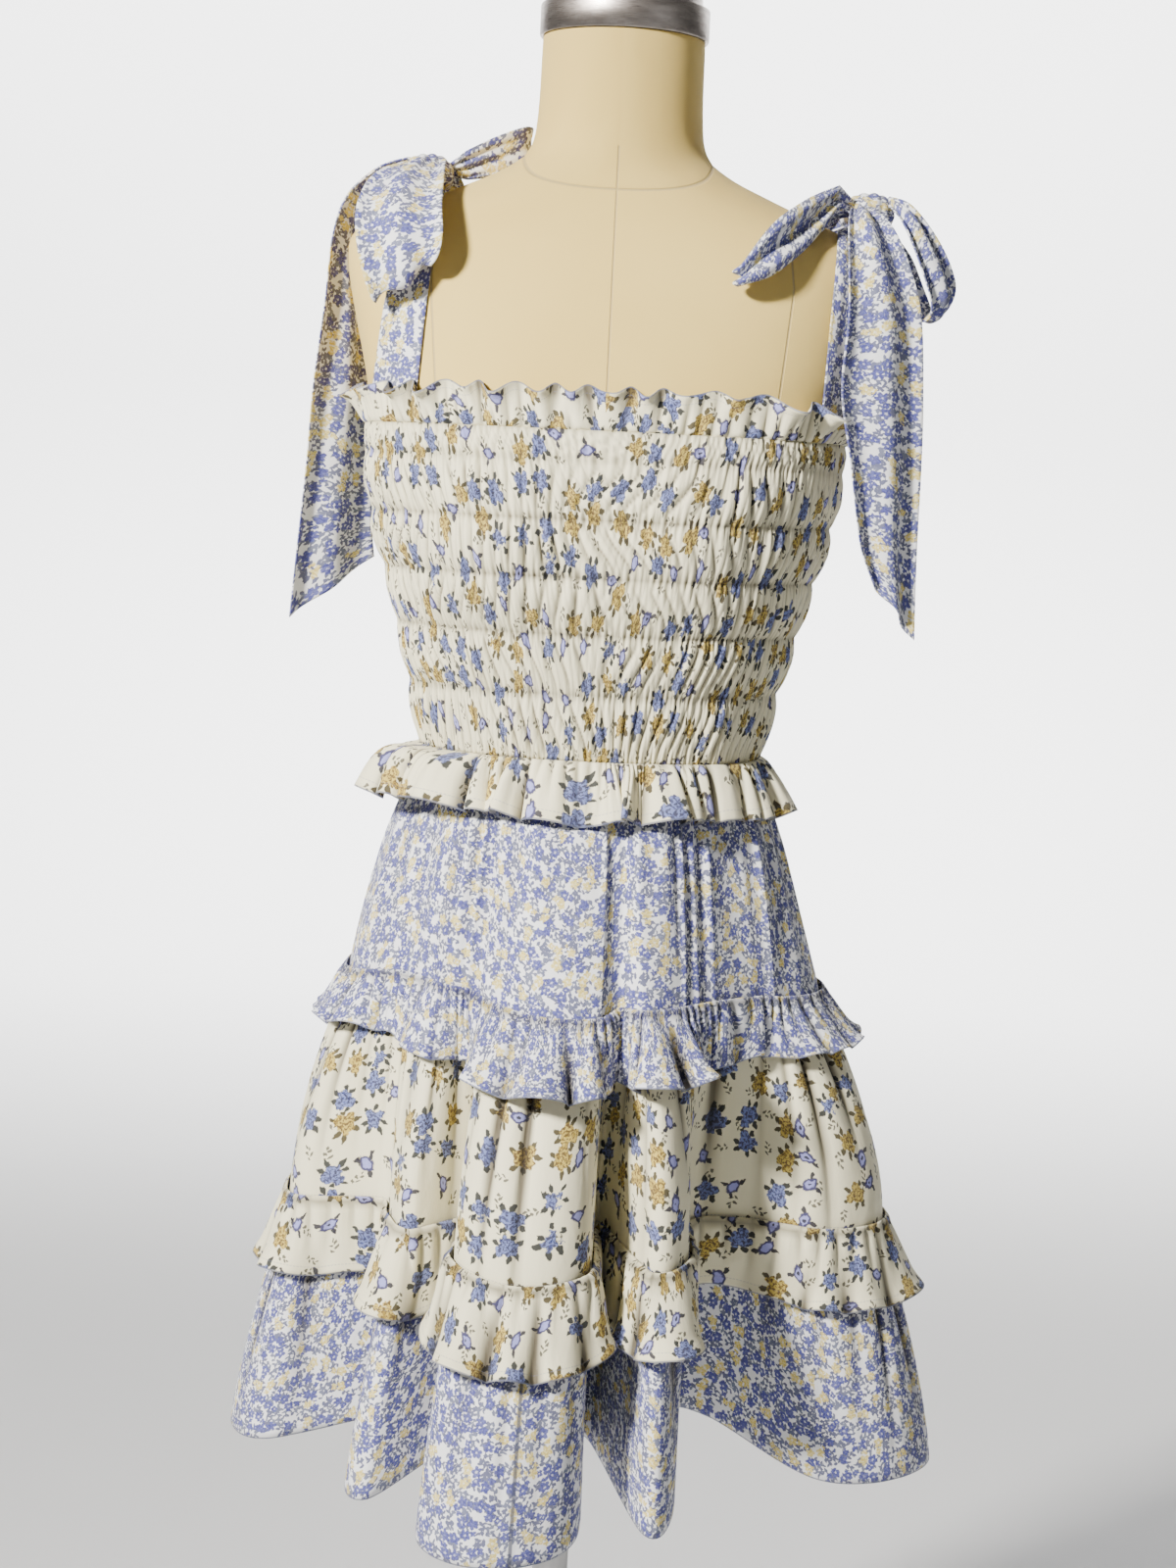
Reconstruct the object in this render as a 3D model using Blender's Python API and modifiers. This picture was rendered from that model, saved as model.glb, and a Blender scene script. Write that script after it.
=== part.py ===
"""Smocked sundress with tie straps and three flounced tiers, worn by a dress form on a pole stand.

Metres, +Z up, origin at the middle of the stand's underside. The dress faces -Y.
An angle round the body is 0 at the front, 90 at +X and 180 at the back.
"""

import math

import bmesh
import bpy
import numpy as np

# Heights
BASE_RADIUS = 0.165
BASE_EDGE = 0.010
BASE_TOP = 0.026
POLE_RADIUS = 0.0125
TORSO_BOTTOM = 0.690
WAIST = 0.960
BODICE_TOP = 1.175
NECK_TOP = 1.435
CAP_RADIUS = 0.0565
CAP_BAND = 0.021
CAP_HEIGHT = 0.042
SEAM_1 = 0.800
SEAM_2 = 0.647
HEM = 0.482

# Cloth
CLOTH = 0.0012
STRAP_CLOTH = 0.0014
SEAM_GAP = 0.0003
TIER_GAP = 0.0012
LAP_GAP = 0.0007
SKIN_GAP = 0.0005

# Counts
FORM_COLUMNS = 36
RIB_COLUMNS = 3
SKIRT_COLUMNS = 96

# Smocking: how far the outer face stands off the form, and how much more the ribs stand out
ELASTIC_OUT = 0.0022
ELASTIC_RIB = 0.0010
PUFF_OUT = 0.0030
PUFF_RIB = 0.0036
SIDE_SEAM_ANGLE = 0.0016

# The frill above the smocking
TOP_FRILL = 0.026
TOP_FRILL_WAVES = 24
TOP_FRILL_FOOT = 0.0032
TOP_FRILL_FLARE = 0.009
TOP_FRILL_SIDE_FLARE = 0.004
TOP_FRILL_RIGHT_FLARE = 0.016
TOP_FRILL_SIDE_FALL = 0.004
TOP_FRILL_RIGHT_FALL = 0.012
TOP_FRILL_SCALLOP = 0.003

# The frill below the waist, which kicks out at the left of the front
WAIST_FRILL = 0.040
WAIST_FRILL_WAVES = 24
WAIST_FRILL_FLARE = 0.007
WAIST_FRILL_SCALLOP = 0.003
KICK_ANGLE = -66
KICK_SPREAD = 26
KICK_FLARE = 0.020
KICK_LIFT = 0.014

# Tiers: how early the tier swells out below its seam, gathers round it and their depth
TIERS = {
    1: (1.15, 10, 0.0026),
    2: (1.8, 0, 0.0),
    3: (1.3, 0, 0.0),
}

# Ruffles, by the seam they cover: tier above, tier below, length, waves, flare on the crests,
# lift at the sides, share of the flare that is left in the valleys
RUFFLES = {
    0: (1, 2, 0.043, 48, 0.016, 0.022, 0.6),
    1: (2, 3, 0.050, 32, 0.012, 0.004, 0.15),
}
RUFFLE_HEAD = 0.004
RUFFLE_LEAST_FLARE = 0.2
RUFFLE_SCALLOP = 0.006
RUFFLE_ROWS = (0.34, 1.0)

# Elastic rows of the smocking, from the waist up
ELASTIC_ROWS = (0.960, 1.004, 1.044, 1.081, 1.118, 1.156, 1.175)

# Sections of the dress form: z, half width, front depth, back depth, squareness
FORM_SECTIONS = (
    (0.690, 0.126, 0.084, 0.094, 2.1),
    (0.740, 0.139, 0.100, 0.108, 2.1),
    (0.797, 0.1435, 0.108, 0.116, 2.1),
    (0.860, 0.138, 0.104, 0.110, 2.1),
    (0.915, 0.1245, 0.094, 0.094, 2.1),
    (0.960, 0.1120, 0.088, 0.082, 2.1),
    (1.004, 0.1210, 0.096, 0.084, 2.1),
    (1.044, 0.1315, 0.107, 0.088, 2.1),
    (1.081, 0.1415, 0.117, 0.093, 2.15),
    (1.118, 0.1510, 0.119, 0.098, 2.2),
    (1.156, 0.1570, 0.114, 0.103, 2.4),
    (1.175, 0.1580, 0.109, 0.105, 2.5),
    (1.205, 0.1620, 0.101, 0.108, 2.6),
    (1.250, 0.1720, 0.087, 0.105, 2.6),
    (1.280, 0.1775, 0.076, 0.097, 2.6),
    (1.298, 0.1760, 0.068, 0.088, 2.5),
    (1.308, 0.1640, 0.064, 0.081, 2.35),
    (1.320, 0.1370, 0.061, 0.074, 2.3),
    (1.334, 0.1040, 0.058, 0.067, 2.2),
    (1.346, 0.0780, 0.0565, 0.061, 2.1),
    (1.358, 0.0620, 0.0560, 0.0575, 2.0),
    (1.375, 0.0560, 0.0550, 0.0550, 2.0),
    (1.435, 0.0540, 0.0540, 0.0540, 2.0),
)
BUST_X = 0.070
BUST_Z = 1.105
BUST_LIFT = 0.010
BUST_SPREAD_X = 0.036
BUST_SPREAD_Z = 0.045

# Crests and valleys round the skirt. angle, then radius at seam 1, seam 2 and hem,
# then how far the cloth is lifted there at seam 1, seam 2 and hem, in millimetres
SKIRT_FOLDS = (
    (-96, 0.158, 0.186, 0.216, 0, 0, 0),
    (-82, 0.158, 0.193, 0.228, 0, 0, 0),
    (-70, 0.154, 0.190, 0.208, 3, 2, 4),
    (-58, 0.141, 0.146, 0.124, 8, 6, 24),
    (-47, 0.139, 0.158, 0.187, 9, 4, 3),
    (-37, 0.142, 0.166, 0.200, 8, 2, 0),
    (-29, 0.137, 0.119, 0.135, 6, 5, 22),
    (-22, 0.145, 0.186, 0.226, 2, -4, -4),
    (-9, 0.156, 0.207, 0.243, -3, -11, -9),
    (4, 0.154, 0.190, 0.208, -3, -5, -2),
    (11, 0.140, 0.104, 0.092, 2, 4, 24),
    (17, 0.150, 0.188, 0.200, 2, -4, -2),
    (26, 0.146, 0.178, 0.178, 3, 0, 4),
    (40, 0.140, 0.124, 0.112, 4, 6, 38),
    (56, 0.143, 0.140, 0.122, 3, 5, 34),
    (64, 0.152, 0.188, 0.196, 1, 1, 0),
    (75, 0.164, 0.216, 0.248, 0, 0, -3),
    (88, 0.166, 0.212, 0.254, 0, 0, 0),
    (101, 0.158, 0.156, 0.148, 2, 5, 22),
    (113, 0.160, 0.200, 0.228, 0, 0, 0),
    (127, 0.162, 0.206, 0.238, 0, -3, -3),
    (139, 0.154, 0.140, 0.122, 2, 5, 26),
    (150, 0.159, 0.194, 0.220, 0, 0, 0),
    (163, 0.162, 0.205, 0.236, -2, -5, -5),
    (176, 0.158, 0.186, 0.204, 0, 0, 0),
    (186, 0.156, 0.146, 0.124, 1, 4, 24),
    (196, 0.159, 0.192, 0.216, 0, 0, 0),
    (209, 0.162, 0.206, 0.238, -1, -4, -4),
    (221, 0.154, 0.142, 0.128, 2, 5, 25),
    (233, 0.160, 0.198, 0.222, 0, 0, 0),
    (246, 0.161, 0.200, 0.230, 0, -2, -2),
    (256, 0.155, 0.150, 0.136, 2, 4, 22),
)

# Bows
KNOT_RADII = (0.018, 0.016, 0.0145)
KNOT_TURN = 88
KNOT_GAP = 0.0005
KNOT_GATHER = 0.7
LEFT_KNOT_X = -0.121
RIGHT_KNOT_X = 0.160
LEFT_KNOT_LIFT = 0.0
RIGHT_KNOT_LIFT = 0.006
STRAP_FOOT = BODICE_TOP + 0.003
SHOULDER_CENTRE = 1.250
STRAP_CHEST_SHARE = 0.4
STRAP_ROWS = 10
STRAP_END_TURN = 72
STRAP_LIFT = 0.0005
STRAP_CROWDING = 1.6
STRAP_COLUMNS = 4
RIBBON_COLUMNS = 3
RIBBON_STEPS = 2

# The two edges of each length of strap, from the knot on, in millimetres.
# Columns: x, y, z of one edge, then x, y, z of the other edge
LOOP_FRONT_LEFT = (
    (-140, -18, 1348, -114, -20, 1350),
    (-160, -40, 1336, -113, -50, 1337),
    (-168, -66, 1312, -112, -78, 1314),
    (-165, -80, 1284, -110, -89, 1296),
    (-157, -84, 1258, -112, -90, 1282),
    (-152, -78, 1250, -117, -84, 1275),
    (-155, -68, 1262, -119, -75, 1286),
    (-156, -56, 1296, -120, -66, 1304),
    (-146, -44, 1318, -120, -48, 1324),
    (-136, -26, 1331, -116, -26, 1332),
)
LOOP_BACK_LEFT = (
    (-101, 10, 1345, -102, 4, 1357),
    (-82, 18, 1352, -84, 10, 1370),
    (-64, 26, 1361, -64, 20, 1381),
    (-60, 32, 1362, -60, 30, 1381),
    (-66, 38, 1357, -68, 37, 1376),
    (-86, 34, 1350, -88, 30, 1365),
    (-102, 22, 1345, -104, 18, 1355),
)
TAIL_OUTER_LEFT = (
    (-141, 4, 1352, -136, 14, 1350),
    (-160, 4, 1345, -154, 26, 1338),
    (-181, 8, 1326, -173, 36, 1318),
    (-191, 14, 1298, -183, 44, 1290),
    (-195, 18, 1255, -177, 54, 1252),
    (-201, 20, 1200, -172, 58, 1198),
    (-204, 18, 1140, -166, 58, 1140),
    (-208, 16, 1085, -160, 58, 1100),
    (-211, 14, 1040, -158, 58, 1083),
)
TAIL_BACK_LEFT = (
    (-130, 18, 1350, -114, 18, 1350),
    (-134, 40, 1336, -106, 40, 1342),
    (-136, 62, 1314, -101, 68, 1322),
    (-136, 83, 1280, -97, 96, 1284),
    (-136, 96, 1235, -93, 111, 1238),
    (-136, 101, 1180, -91, 117, 1180),
    (-136, 101, 1120, -89, 115, 1110),
    (-136, 101, 1095, -88, 114, 1052),
)
LOOP_INNER_RIGHT = (
    (146, -30, 1328, 147, -22, 1345),
    (124, -64, 1299, 124, -48, 1332),
    (102, -87, 1280, 101, -78, 1312),
    (84, -92, 1272, 83, -89, 1286),
    (82, -85, 1272, 81, -83, 1284),
    (104, -76, 1281, 102, -68, 1305),
    (126, -56, 1302, 126, -40, 1322),
    (144, -19, 1323, 146, -14, 1332),
)
LOOP_OUTER_RIGHT = (
    (182, -15, 1334, 183, 2, 1342),
    (190, -42, 1319, 197, -14, 1335),
    (200, -58, 1292, 215, -30, 1310),
    (208, -62, 1268, 226, -36, 1284),
    (207, -60, 1258, 223, -34, 1268),
    (201, -54, 1258, 214, -28, 1262),
    (196, -46, 1274, 207, -22, 1276),
    (190, -30, 1298, 197, -10, 1300),
    (183, -14, 1314, 186, 1, 1317),
)
TAIL_FRONT_RIGHT = (
    (156, -22, 1331, 168, -20, 1331),
    (152, -52, 1318, 178, -44, 1322),
    (152, -72, 1290, 190, -54, 1300),
    (153, -80, 1255, 202, -58, 1262),
    (151, -84, 1208, 207, -58, 1206),
    (160, -80, 1162, 209, -54, 1160),
    (170, -74, 1110, 210, -50, 1105),
    (181, -68, 1085, 212, -48, 1048),
)
TAIL_BACK_RIGHT = (
    (150, 18, 1333, 164, 18, 1333),
    (143, 42, 1324, 170, 40, 1320),
    (134, 68, 1306, 168, 60, 1300),
    (124, 92, 1272, 164, 76, 1266),
    (114, 108, 1220, 156, 90, 1216),
    (104, 114, 1165, 146, 98, 1160),
    (96, 114, 1110, 138, 98, 1090),
    (92, 114, 1085, 134, 98, 1044),
)

FABRIC_FLORAL = ("cream floral cotton", (0.83, 0.80, 0.68), 0.85, 0.0)
FABRIC_DITSY = ("blue ditsy cotton", (0.62, 0.66, 0.84), 0.85, 0.0)
FORM_LINEN = ("linen covered form", (0.76, 0.66, 0.47), 0.9, 0.0)
CAP_METAL = ("brushed neck cap", (0.42, 0.39, 0.37), 0.3, 1.0)
STAND_METAL = ("painted stand", (0.62, 0.62, 0.62), 0.35, 0.8)

parts = None


def clear_scene():
    for item in list(bpy.data.objects):
        bpy.data.objects.remove(item, do_unlink=True)


def make_collection(name):
    made = bpy.data.collections.new(name)
    bpy.context.scene.collection.children.link(made)
    return made


def material(finish):
    name, colour, roughness, metallic = finish
    found = bpy.data.materials.get(name)
    if found:
        return found
    made = bpy.data.materials.new(name)
    made.use_nodes = True
    shader = made.node_tree.nodes["Principled BSDF"]
    shader.inputs["Base Color"].default_value = (*colour, 1.0)
    shader.inputs["Roughness"].default_value = roughness
    shader.inputs["Metallic"].default_value = metallic
    made.diffuse_color = (*colour, 1.0)
    return made


def add_object(name, mesh, finish):
    item = bpy.data.objects.new(name, mesh)
    parts.objects.link(item)
    mesh.materials.append(material(finish))
    return item


def mesh_from(name, points, faces):
    mesh = bpy.data.meshes.new(name)
    mesh.from_pydata([tuple(p) for p in points], [], faces)
    mesh.update()
    return mesh


def face_out(mesh):
    work = bmesh.new()
    work.from_mesh(mesh)
    bmesh.ops.recalc_face_normals(work, faces=work.faces)
    if work.calc_volume(signed=True) < 0:
        bmesh.ops.reverse_faces(work, faces=work.faces)
    work.to_mesh(mesh)
    work.free()


# Curves through table values


def hermite(a, b, c, d, f):
    """A smooth value between b and c, with a and d as their neighbours."""
    return b + 0.5 * f * (c - a + f * (2 * a - 5 * b + 4 * c - d + f * (3 * (b - c) + d - a)))


def form_section(z):
    """Half width, front depth, back depth and squareness of the form at a height."""
    table = np.array(FORM_SECTIONS)
    z = min(max(z, table[0, 0]), table[-1, 0])
    i = int(np.clip(np.searchsorted(table[:, 0], z) - 1, 0, len(table) - 2))
    before, after = max(i - 1, 0), min(i + 2, len(table) - 1)
    span = table[i + 1, 0] - table[i, 0]
    f = (z - table[i, 0]) / span
    slope_low = (table[i + 1] - table[before]) / (table[i + 1, 0] - table[before, 0]) * span
    slope_high = (table[after] - table[i]) / (table[after, 0] - table[i, 0]) * span
    value = (
        table[i] * (2 * f**3 - 3 * f**2 + 1)
        + slope_low * (f**3 - 2 * f**2 + f)
        + table[i + 1] * (3 * f**2 - 2 * f**3)
        + slope_high * (f**3 - f**2)
    )
    return value[1:]


def signed_power(value, power):
    return math.copysign(abs(value) ** power, value)


def form_ring_point(angle, z):
    """A point of the form's skin, at an angle in radians."""
    half_width, front, back, squareness = form_section(z)
    depth = front if math.cos(angle) > 0 else back
    x = half_width * signed_power(math.sin(angle), 2 / squareness)
    y = -depth * signed_power(math.cos(angle), 2 / squareness)
    if y < 0:
        across = (abs(x) - BUST_X) / BUST_SPREAD_X
        along = (z - BUST_Z) / BUST_SPREAD_Z
        y -= BUST_LIFT * math.exp(-(across**2) - along**2) * math.cos(angle)
    return np.array((x, y, z))


def form_point(angle, z, out=0.0):
    """A point that far outside the form's skin, measured level."""
    step = 0.01
    point = form_ring_point(angle, z)
    ahead = form_ring_point(angle + step, z)
    behind = form_ring_point(angle - step, z)
    along = ahead - behind
    along /= np.linalg.norm(along)
    return point + out * np.array((along[1], -along[0], 0.0))


def inside_form(point):
    """Below zero inside the form, above it outside."""
    half_width, front, back, squareness = form_section(point[2])
    depth = front if point[1] < 0 else back
    return (abs(point[0]) / half_width) ** squareness + (abs(point[1]) / depth) ** squareness - 1


def off_form(point, out):
    """A point on the form, moved out square to the form's skin."""
    step = 0.0005
    slope = np.array([
        inside_form(point + step * axis) - inside_form(point - step * axis)
        for axis in np.eye(3)
    ])
    return point + out * slope / np.linalg.norm(slope)


def chest_point(x, z, behind, out):
    """A point over the chest, or over the back, at x and a height."""
    half_width, front, back, squareness = form_section(z)
    rest = max(0.0, 1 - abs(x / half_width) ** squareness) ** (1 / squareness)
    return off_form(np.array((x, back * rest if behind else -front * rest, z)), out)


def shoulder_point(x, turn, out):
    """A point over the shoulder. turn is 0 at the front, 90 on top and 180 behind."""
    start = np.array((x, 0.0, SHOULDER_CENTRE))
    way = np.array((0.0, -math.cos(math.radians(turn)), math.sin(math.radians(turn))))
    near, far = 0.0, 0.30
    for _ in range(40):
        middle = (near + far) / 2
        if inside_form(start + middle * way) < 0:
            near = middle
        else:
            far = middle
    return off_form(start + near * way, out)


# The dress form


def ring_faces(rings, columns):
    faces = []
    for row in range(rings - 1):
        for k in range(columns):
            after = (k + 1) % columns
            low, high = row * columns, (row + 1) * columns
            faces.append((low + k, low + after, high + after, high + k))
    return faces


def build_torso():
    heights = [row[0] for row in FORM_SECTIONS]
    angles = [2 * math.pi * k / FORM_COLUMNS for k in range(FORM_COLUMNS)]
    points = [form_ring_point(angle, z) for z in heights for angle in angles]
    faces = ring_faces(len(heights), FORM_COLUMNS)
    faces.append(tuple(range(FORM_COLUMNS)))
    last = (len(heights) - 1) * FORM_COLUMNS
    faces.append(tuple(range(last, last + FORM_COLUMNS)))
    mesh = mesh_from("form_torso", points, faces)
    face_out(mesh)
    mesh.shade_smooth()
    mesh.set_sharp_from_angle(angle=math.radians(50))
    return add_object("form_torso", mesh, FORM_LINEN)


def turned(name, profile, finish, steps=18):
    """A solid turned from a profile of radius and height pairs, from the top down."""
    points = [(radius, 0.0, z) for radius, z in profile]
    mesh = bpy.data.meshes.new(name)
    mesh.from_pydata(points, [(i, i + 1) for i in range(len(points) - 1)], [])
    item = add_object(name, mesh, finish)
    screw = item.modifiers.new("turn", "SCREW")
    screw.steps = steps
    screw.render_steps = steps
    screw.use_merge_vertices = True
    screw.merge_threshold = 0.00005
    screw.use_smooth_shade = True
    return item


def build_neck_cap():
    bottom = NECK_TOP + SEAM_GAP
    band = bottom + CAP_BAND
    top = bottom + CAP_HEIGHT
    profile = (
        (0.0, top),
        (0.030, top - 0.001),
        (0.046, top - 0.006),
        (0.0510, top - 0.013),
        (0.0515, band + 0.001),
        (CAP_RADIUS - 0.001, band),
        (CAP_RADIUS, band - 0.001),
        (CAP_RADIUS, bottom + 0.001),
        (CAP_RADIUS - 0.001, bottom),
        (0.0, bottom),
    )
    return turned("form_neck_cap", profile, CAP_METAL)


def build_stand():
    pole_bottom = BASE_TOP + SEAM_GAP
    pole_top = TORSO_BOTTOM - SEAM_GAP
    pole = (
        (0.0, pole_top),
        (0.024, pole_top),
        (0.024, pole_top - 0.012),
        (POLE_RADIUS, pole_top - 0.016),
        (POLE_RADIUS, pole_bottom),
        (0.0, pole_bottom),
    )
    turned("stand_pole", pole, STAND_METAL, steps=10)
    base = (
        (0.0, BASE_TOP),
        (0.030, BASE_TOP),
        (0.036, BASE_TOP - 0.006),
        (BASE_RADIUS - 0.012, BASE_EDGE),
        (BASE_RADIUS, BASE_EDGE - 0.005),
        (BASE_RADIUS, 0.0),
        (0.0, 0.0),
    )
    turned("stand_base", base, STAND_METAL, steps=28)


# The smocked bodice


def rib_height(column, row):
    """How much a rib of the smocking stands out, from 0 to 1. Ribs differ a little in size."""
    uneven = 0.72 + 0.28 * math.sin(column * 2.4 + row * 1.7)
    return uneven if column % 2 else 0.0


def bodice_out(column, row):
    """How far the outer face stands off the form. Even rows are elastic, odd ones puff out."""
    if row % 2:
        return PUFF_OUT + PUFF_RIB * rib_height(column, row)
    return ELASTIC_OUT + ELASTIC_RIB * rib_height(column, row)


def build_bodice_panel(name, first_column):
    """Half the smocked tube: a plain inside on the form's own columns, and ribs outside."""
    inner_columns = FORM_COLUMNS // 2
    per_column = RIB_COLUMNS
    outer_columns = inner_columns * per_column
    start = 2 * math.pi * first_column / FORM_COLUMNS

    def angle_at(fraction):
        angle = start + math.pi * fraction
        return min(max(angle, start + SIDE_SEAM_ANGLE), start + math.pi - SIDE_SEAM_ANGLE)

    rows = []
    for low, high in zip(ELASTIC_ROWS, ELASTIC_ROWS[1:]):
        rows += [low, (low + high) / 2]
    rows.append(ELASTIC_ROWS[-1])
    outer = [
        form_point(angle_at(k / outer_columns), z, bodice_out(k, row))
        for row, z in enumerate(rows)
        for k in range(outer_columns + 1)
    ]
    inner = [
        form_point(angle_at(k / inner_columns), z, SKIN_GAP)
        for z in ELASTIC_ROWS
        for k in range(inner_columns + 1)
    ]
    wide, narrow = outer_columns + 1, inner_columns + 1
    shift = len(outer)
    faces = []
    for row in range(len(rows) - 1):
        for k in range(outer_columns):
            at = row * wide + k
            faces.append((at, at + 1, at + wide + 1, at + wide))
    for row in range(len(ELASTIC_ROWS) - 1):
        for k in range(inner_columns):
            at = shift + row * narrow + k
            faces.append((at, at + narrow, at + narrow + 1, at + 1))
    last_outer, last_inner = (len(rows) - 1) * wide, (len(ELASTIC_ROWS) - 1) * narrow
    for k in range(inner_columns):
        for outer_at, inner_at in ((0, shift), (last_outer, shift + last_inner)):
            rim = [outer_at + k * per_column + i for i in range(per_column + 1)]
            faces.append((*rim, inner_at + k + 1, inner_at + k))
    for row in range(len(ELASTIC_ROWS) - 1):
        for outer_at, inner_at in ((0, 0), (outer_columns, inner_columns)):
            side = [outer_at + (2 * row + i) * wide for i in range(3)]
            low = shift + inner_at + row * narrow
            faces.append((*side, low + narrow, low))
    mesh = mesh_from(name, outer + inner, faces)
    face_out(mesh)
    return add_object(name, mesh, FABRIC_FLORAL)


# Sheets of cloth


def cloth_sheet(name, grid, finish, thickness, closed):
    """A wall made from a grid of points, its rows going down and its columns round."""
    rows, columns = grid.shape[:2]
    points = grid.reshape(-1, 3)
    faces = []
    for row in range(rows - 1):
        for k in range(columns if closed else columns - 1):
            after = (k + 1) % columns
            low, high = row * columns, (row + 1) * columns
            faces.append((low + k, high + k, high + after, low + after))
    mesh = mesh_from(name, points, faces)
    mesh.shade_smooth()
    mesh.set_sharp_from_angle(angle=math.radians(25))
    item = add_object(name, mesh, finish)
    wall = item.modifiers.new("wall", "SOLIDIFY")
    wall.thickness = thickness
    wall.offset = 0.0
    wall.use_rim = True
    return item


def unit(vectors):
    return vectors / np.linalg.norm(vectors, axis=1)[:, None]


def level_normals(ring):
    """The outward normals of a ring of points, measured level."""
    along = np.roll(ring, -1, axis=0) - np.roll(ring, 1, axis=0)
    return unit(np.stack([along[:, 1], -along[:, 0], np.zeros(len(ring))], axis=1))


def corner_reach(ring):
    """How much further each point has to move, for the lines between them to keep their distance."""
    flat = ring * (1, 1, 0)
    ahead = unit(np.roll(flat, -1, axis=0) - flat)
    behind = np.roll(ahead, 1, axis=0)
    half_turn = np.sqrt((1 + (ahead * behind).sum(axis=1)) / 2)
    return 1 / np.maximum(half_turn, 0.6)


# The skirt's rings


def fold_controls(level):
    """The crests and valleys at seam 1, seam 2 or the hem, as points."""
    height = (SEAM_1, SEAM_2, HEM)[level]
    controls = []
    for fold in SKIRT_FOLDS:
        angle, radius, lift = math.radians(fold[0]), fold[1 + level], fold[4 + level] / 1000
        controls.append((radius * math.sin(angle), -radius * math.cos(angle), height + lift))
    return np.array(controls)


def column_places():
    """For each column of the skirt, the crest or valley before it and the share of the way to the next."""
    lengths = 0
    for level in range(3):
        controls = fold_controls(level)
        lengths = lengths + np.linalg.norm(np.roll(controls, -1, axis=0) - controls, axis=1)
    ends = np.concatenate([[0], np.cumsum(lengths)]) / lengths.sum()
    counts = np.diff(np.round(ends * SKIRT_COLUMNS).astype(int))
    return [(j, i / count) for j, count in enumerate(counts) for i in range(count)]


PLACES = column_places()


def fold_ring(level):
    """The skirt's line at a level, smooth through the crests and valleys."""
    controls = fold_controls(level)
    count = len(controls)
    ring = []
    for j, f in PLACES:
        around = [controls[(j + i) % count] for i in (-1, 0, 1, 2)]
        ring.append(hermite(*around, f))
    return np.array(ring)


def column_angles():
    """The angle of each column where the skirt is gathered in at the waist, in radians."""
    angles = [fold[0] for fold in SKIRT_FOLDS]
    angles.append(angles[0] + 360)
    return np.radians([angles[j] + f * (angles[j + 1] - angles[j]) for j, f in PLACES])


ANGLES = column_angles()
RINGS = [fold_ring(level) for level in range(3)]


def waist_ring(z, out):
    return np.array([form_point(angle, z, out) for angle in ANGLES])


def eased(share, power):
    """Most of the way early on, as where a gathered tier swells out under its seam."""
    return 1 - (1 - share) ** power


def gathered(count, depth):
    """Soft gathers round the skirt, out from its surface."""
    turns = 2 * math.pi * np.arange(SKIRT_COLUMNS) / SKIRT_COLUMNS
    return depth * np.sin(count * turns) * (0.75 + 0.25 * np.sin(3 * turns))


def moved_out(ring, out):
    return ring + level_normals(ring) * np.asarray(out).reshape(-1, 1)


def tier_ring(tier, share):
    """The middle of a tier's wall, at a share of the way down it."""
    power, gathers, depth = TIERS[tier]
    seam_half = np.array((0, 0, TIER_GAP / 2))
    if tier == 1:
        top = waist_ring(WAIST - SEAM_GAP - CLOTH / 2, SKIN_GAP + CLOTH)
    else:
        top = RINGS[tier - 2] - seam_half
    bottom = RINGS[2] if tier == 3 else RINGS[tier - 1] + seam_half
    ring = top + (bottom - top) * eased(share, power)
    ring[:, 2] = top[:, 2] + (bottom[:, 2] - top[:, 2]) * share
    return moved_out(ring, gathered(gathers, depth) * math.sin(math.pi * share))


def over_tier(tier, share, out):
    """A ring that lies over a tier, moved out square to its slope."""
    ring = tier_ring(tier, share)
    down = tier_ring(tier, min(share + 0.02, 1)) - tier_ring(tier, max(share - 0.02, 0))
    along = np.roll(ring, -1, axis=0) - np.roll(ring, 1, axis=0)
    reach = out * corner_reach(ring)
    return ring + unit(np.cross(down, along)) * reach[:, None]


def build_tier(name, tier, shares, finish):
    grid = np.array([tier_ring(tier, share) for share in shares])
    return cloth_sheet(name, grid, finish, CLOTH, True)


def openness(level):
    """1 on the crests of the skirt and 0 in its deep valleys, for each column."""
    radius = np.linalg.norm(RINGS[level][:, :2], axis=1)
    low, high = np.percentile(radius, 12), np.percentile(radius, 70)
    share = np.clip((radius - low) / (high - low), 0, 1)
    return share * share * (3 - 2 * share)


def ruffle_waves(count):
    """From 0 to 1, the waves of a ruffle, which differ in size."""
    turns = 2 * math.pi * np.arange(SKIRT_COLUMNS) / SKIRT_COLUMNS
    waves = 0.5 - 0.5 * np.cos(count * turns)
    return waves * (0.72 + 0.28 * np.sin(count // 3 * turns))


def column_room(level):
    """How wide each column is at a level, next to the mean."""
    ring = RINGS[level]
    widths = np.linalg.norm(np.roll(ring, -1, axis=0) - np.roll(ring, 1, axis=0), axis=1)
    return np.clip(widths / widths.mean(), 0, 1.2)


def kept_out(ring, level, share):
    """Where a tier turns in below its seam, a ruffle hangs down from the seam instead."""
    seam_ring = RINGS[level]
    slant = (unit(seam_ring * (1, 1, 0)) * level_normals(seam_ring)).sum(axis=1)
    lap = (CLOTH + LAP_GAP) * corner_reach(seam_ring) / np.maximum(slant, 0.4)
    seam = np.linalg.norm(seam_ring[:, :2], axis=1) + lap
    radius = np.linalg.norm(ring[:, :2], axis=1)
    wider = 1 + np.maximum(0, seam - radius) * share / radius
    return ring * np.stack([wider, wider, np.ones(len(ring))], axis=1)


def sideways():
    """0 at the front and back, 1 at the sides."""
    return np.sin(ANGLES) ** 2


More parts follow.
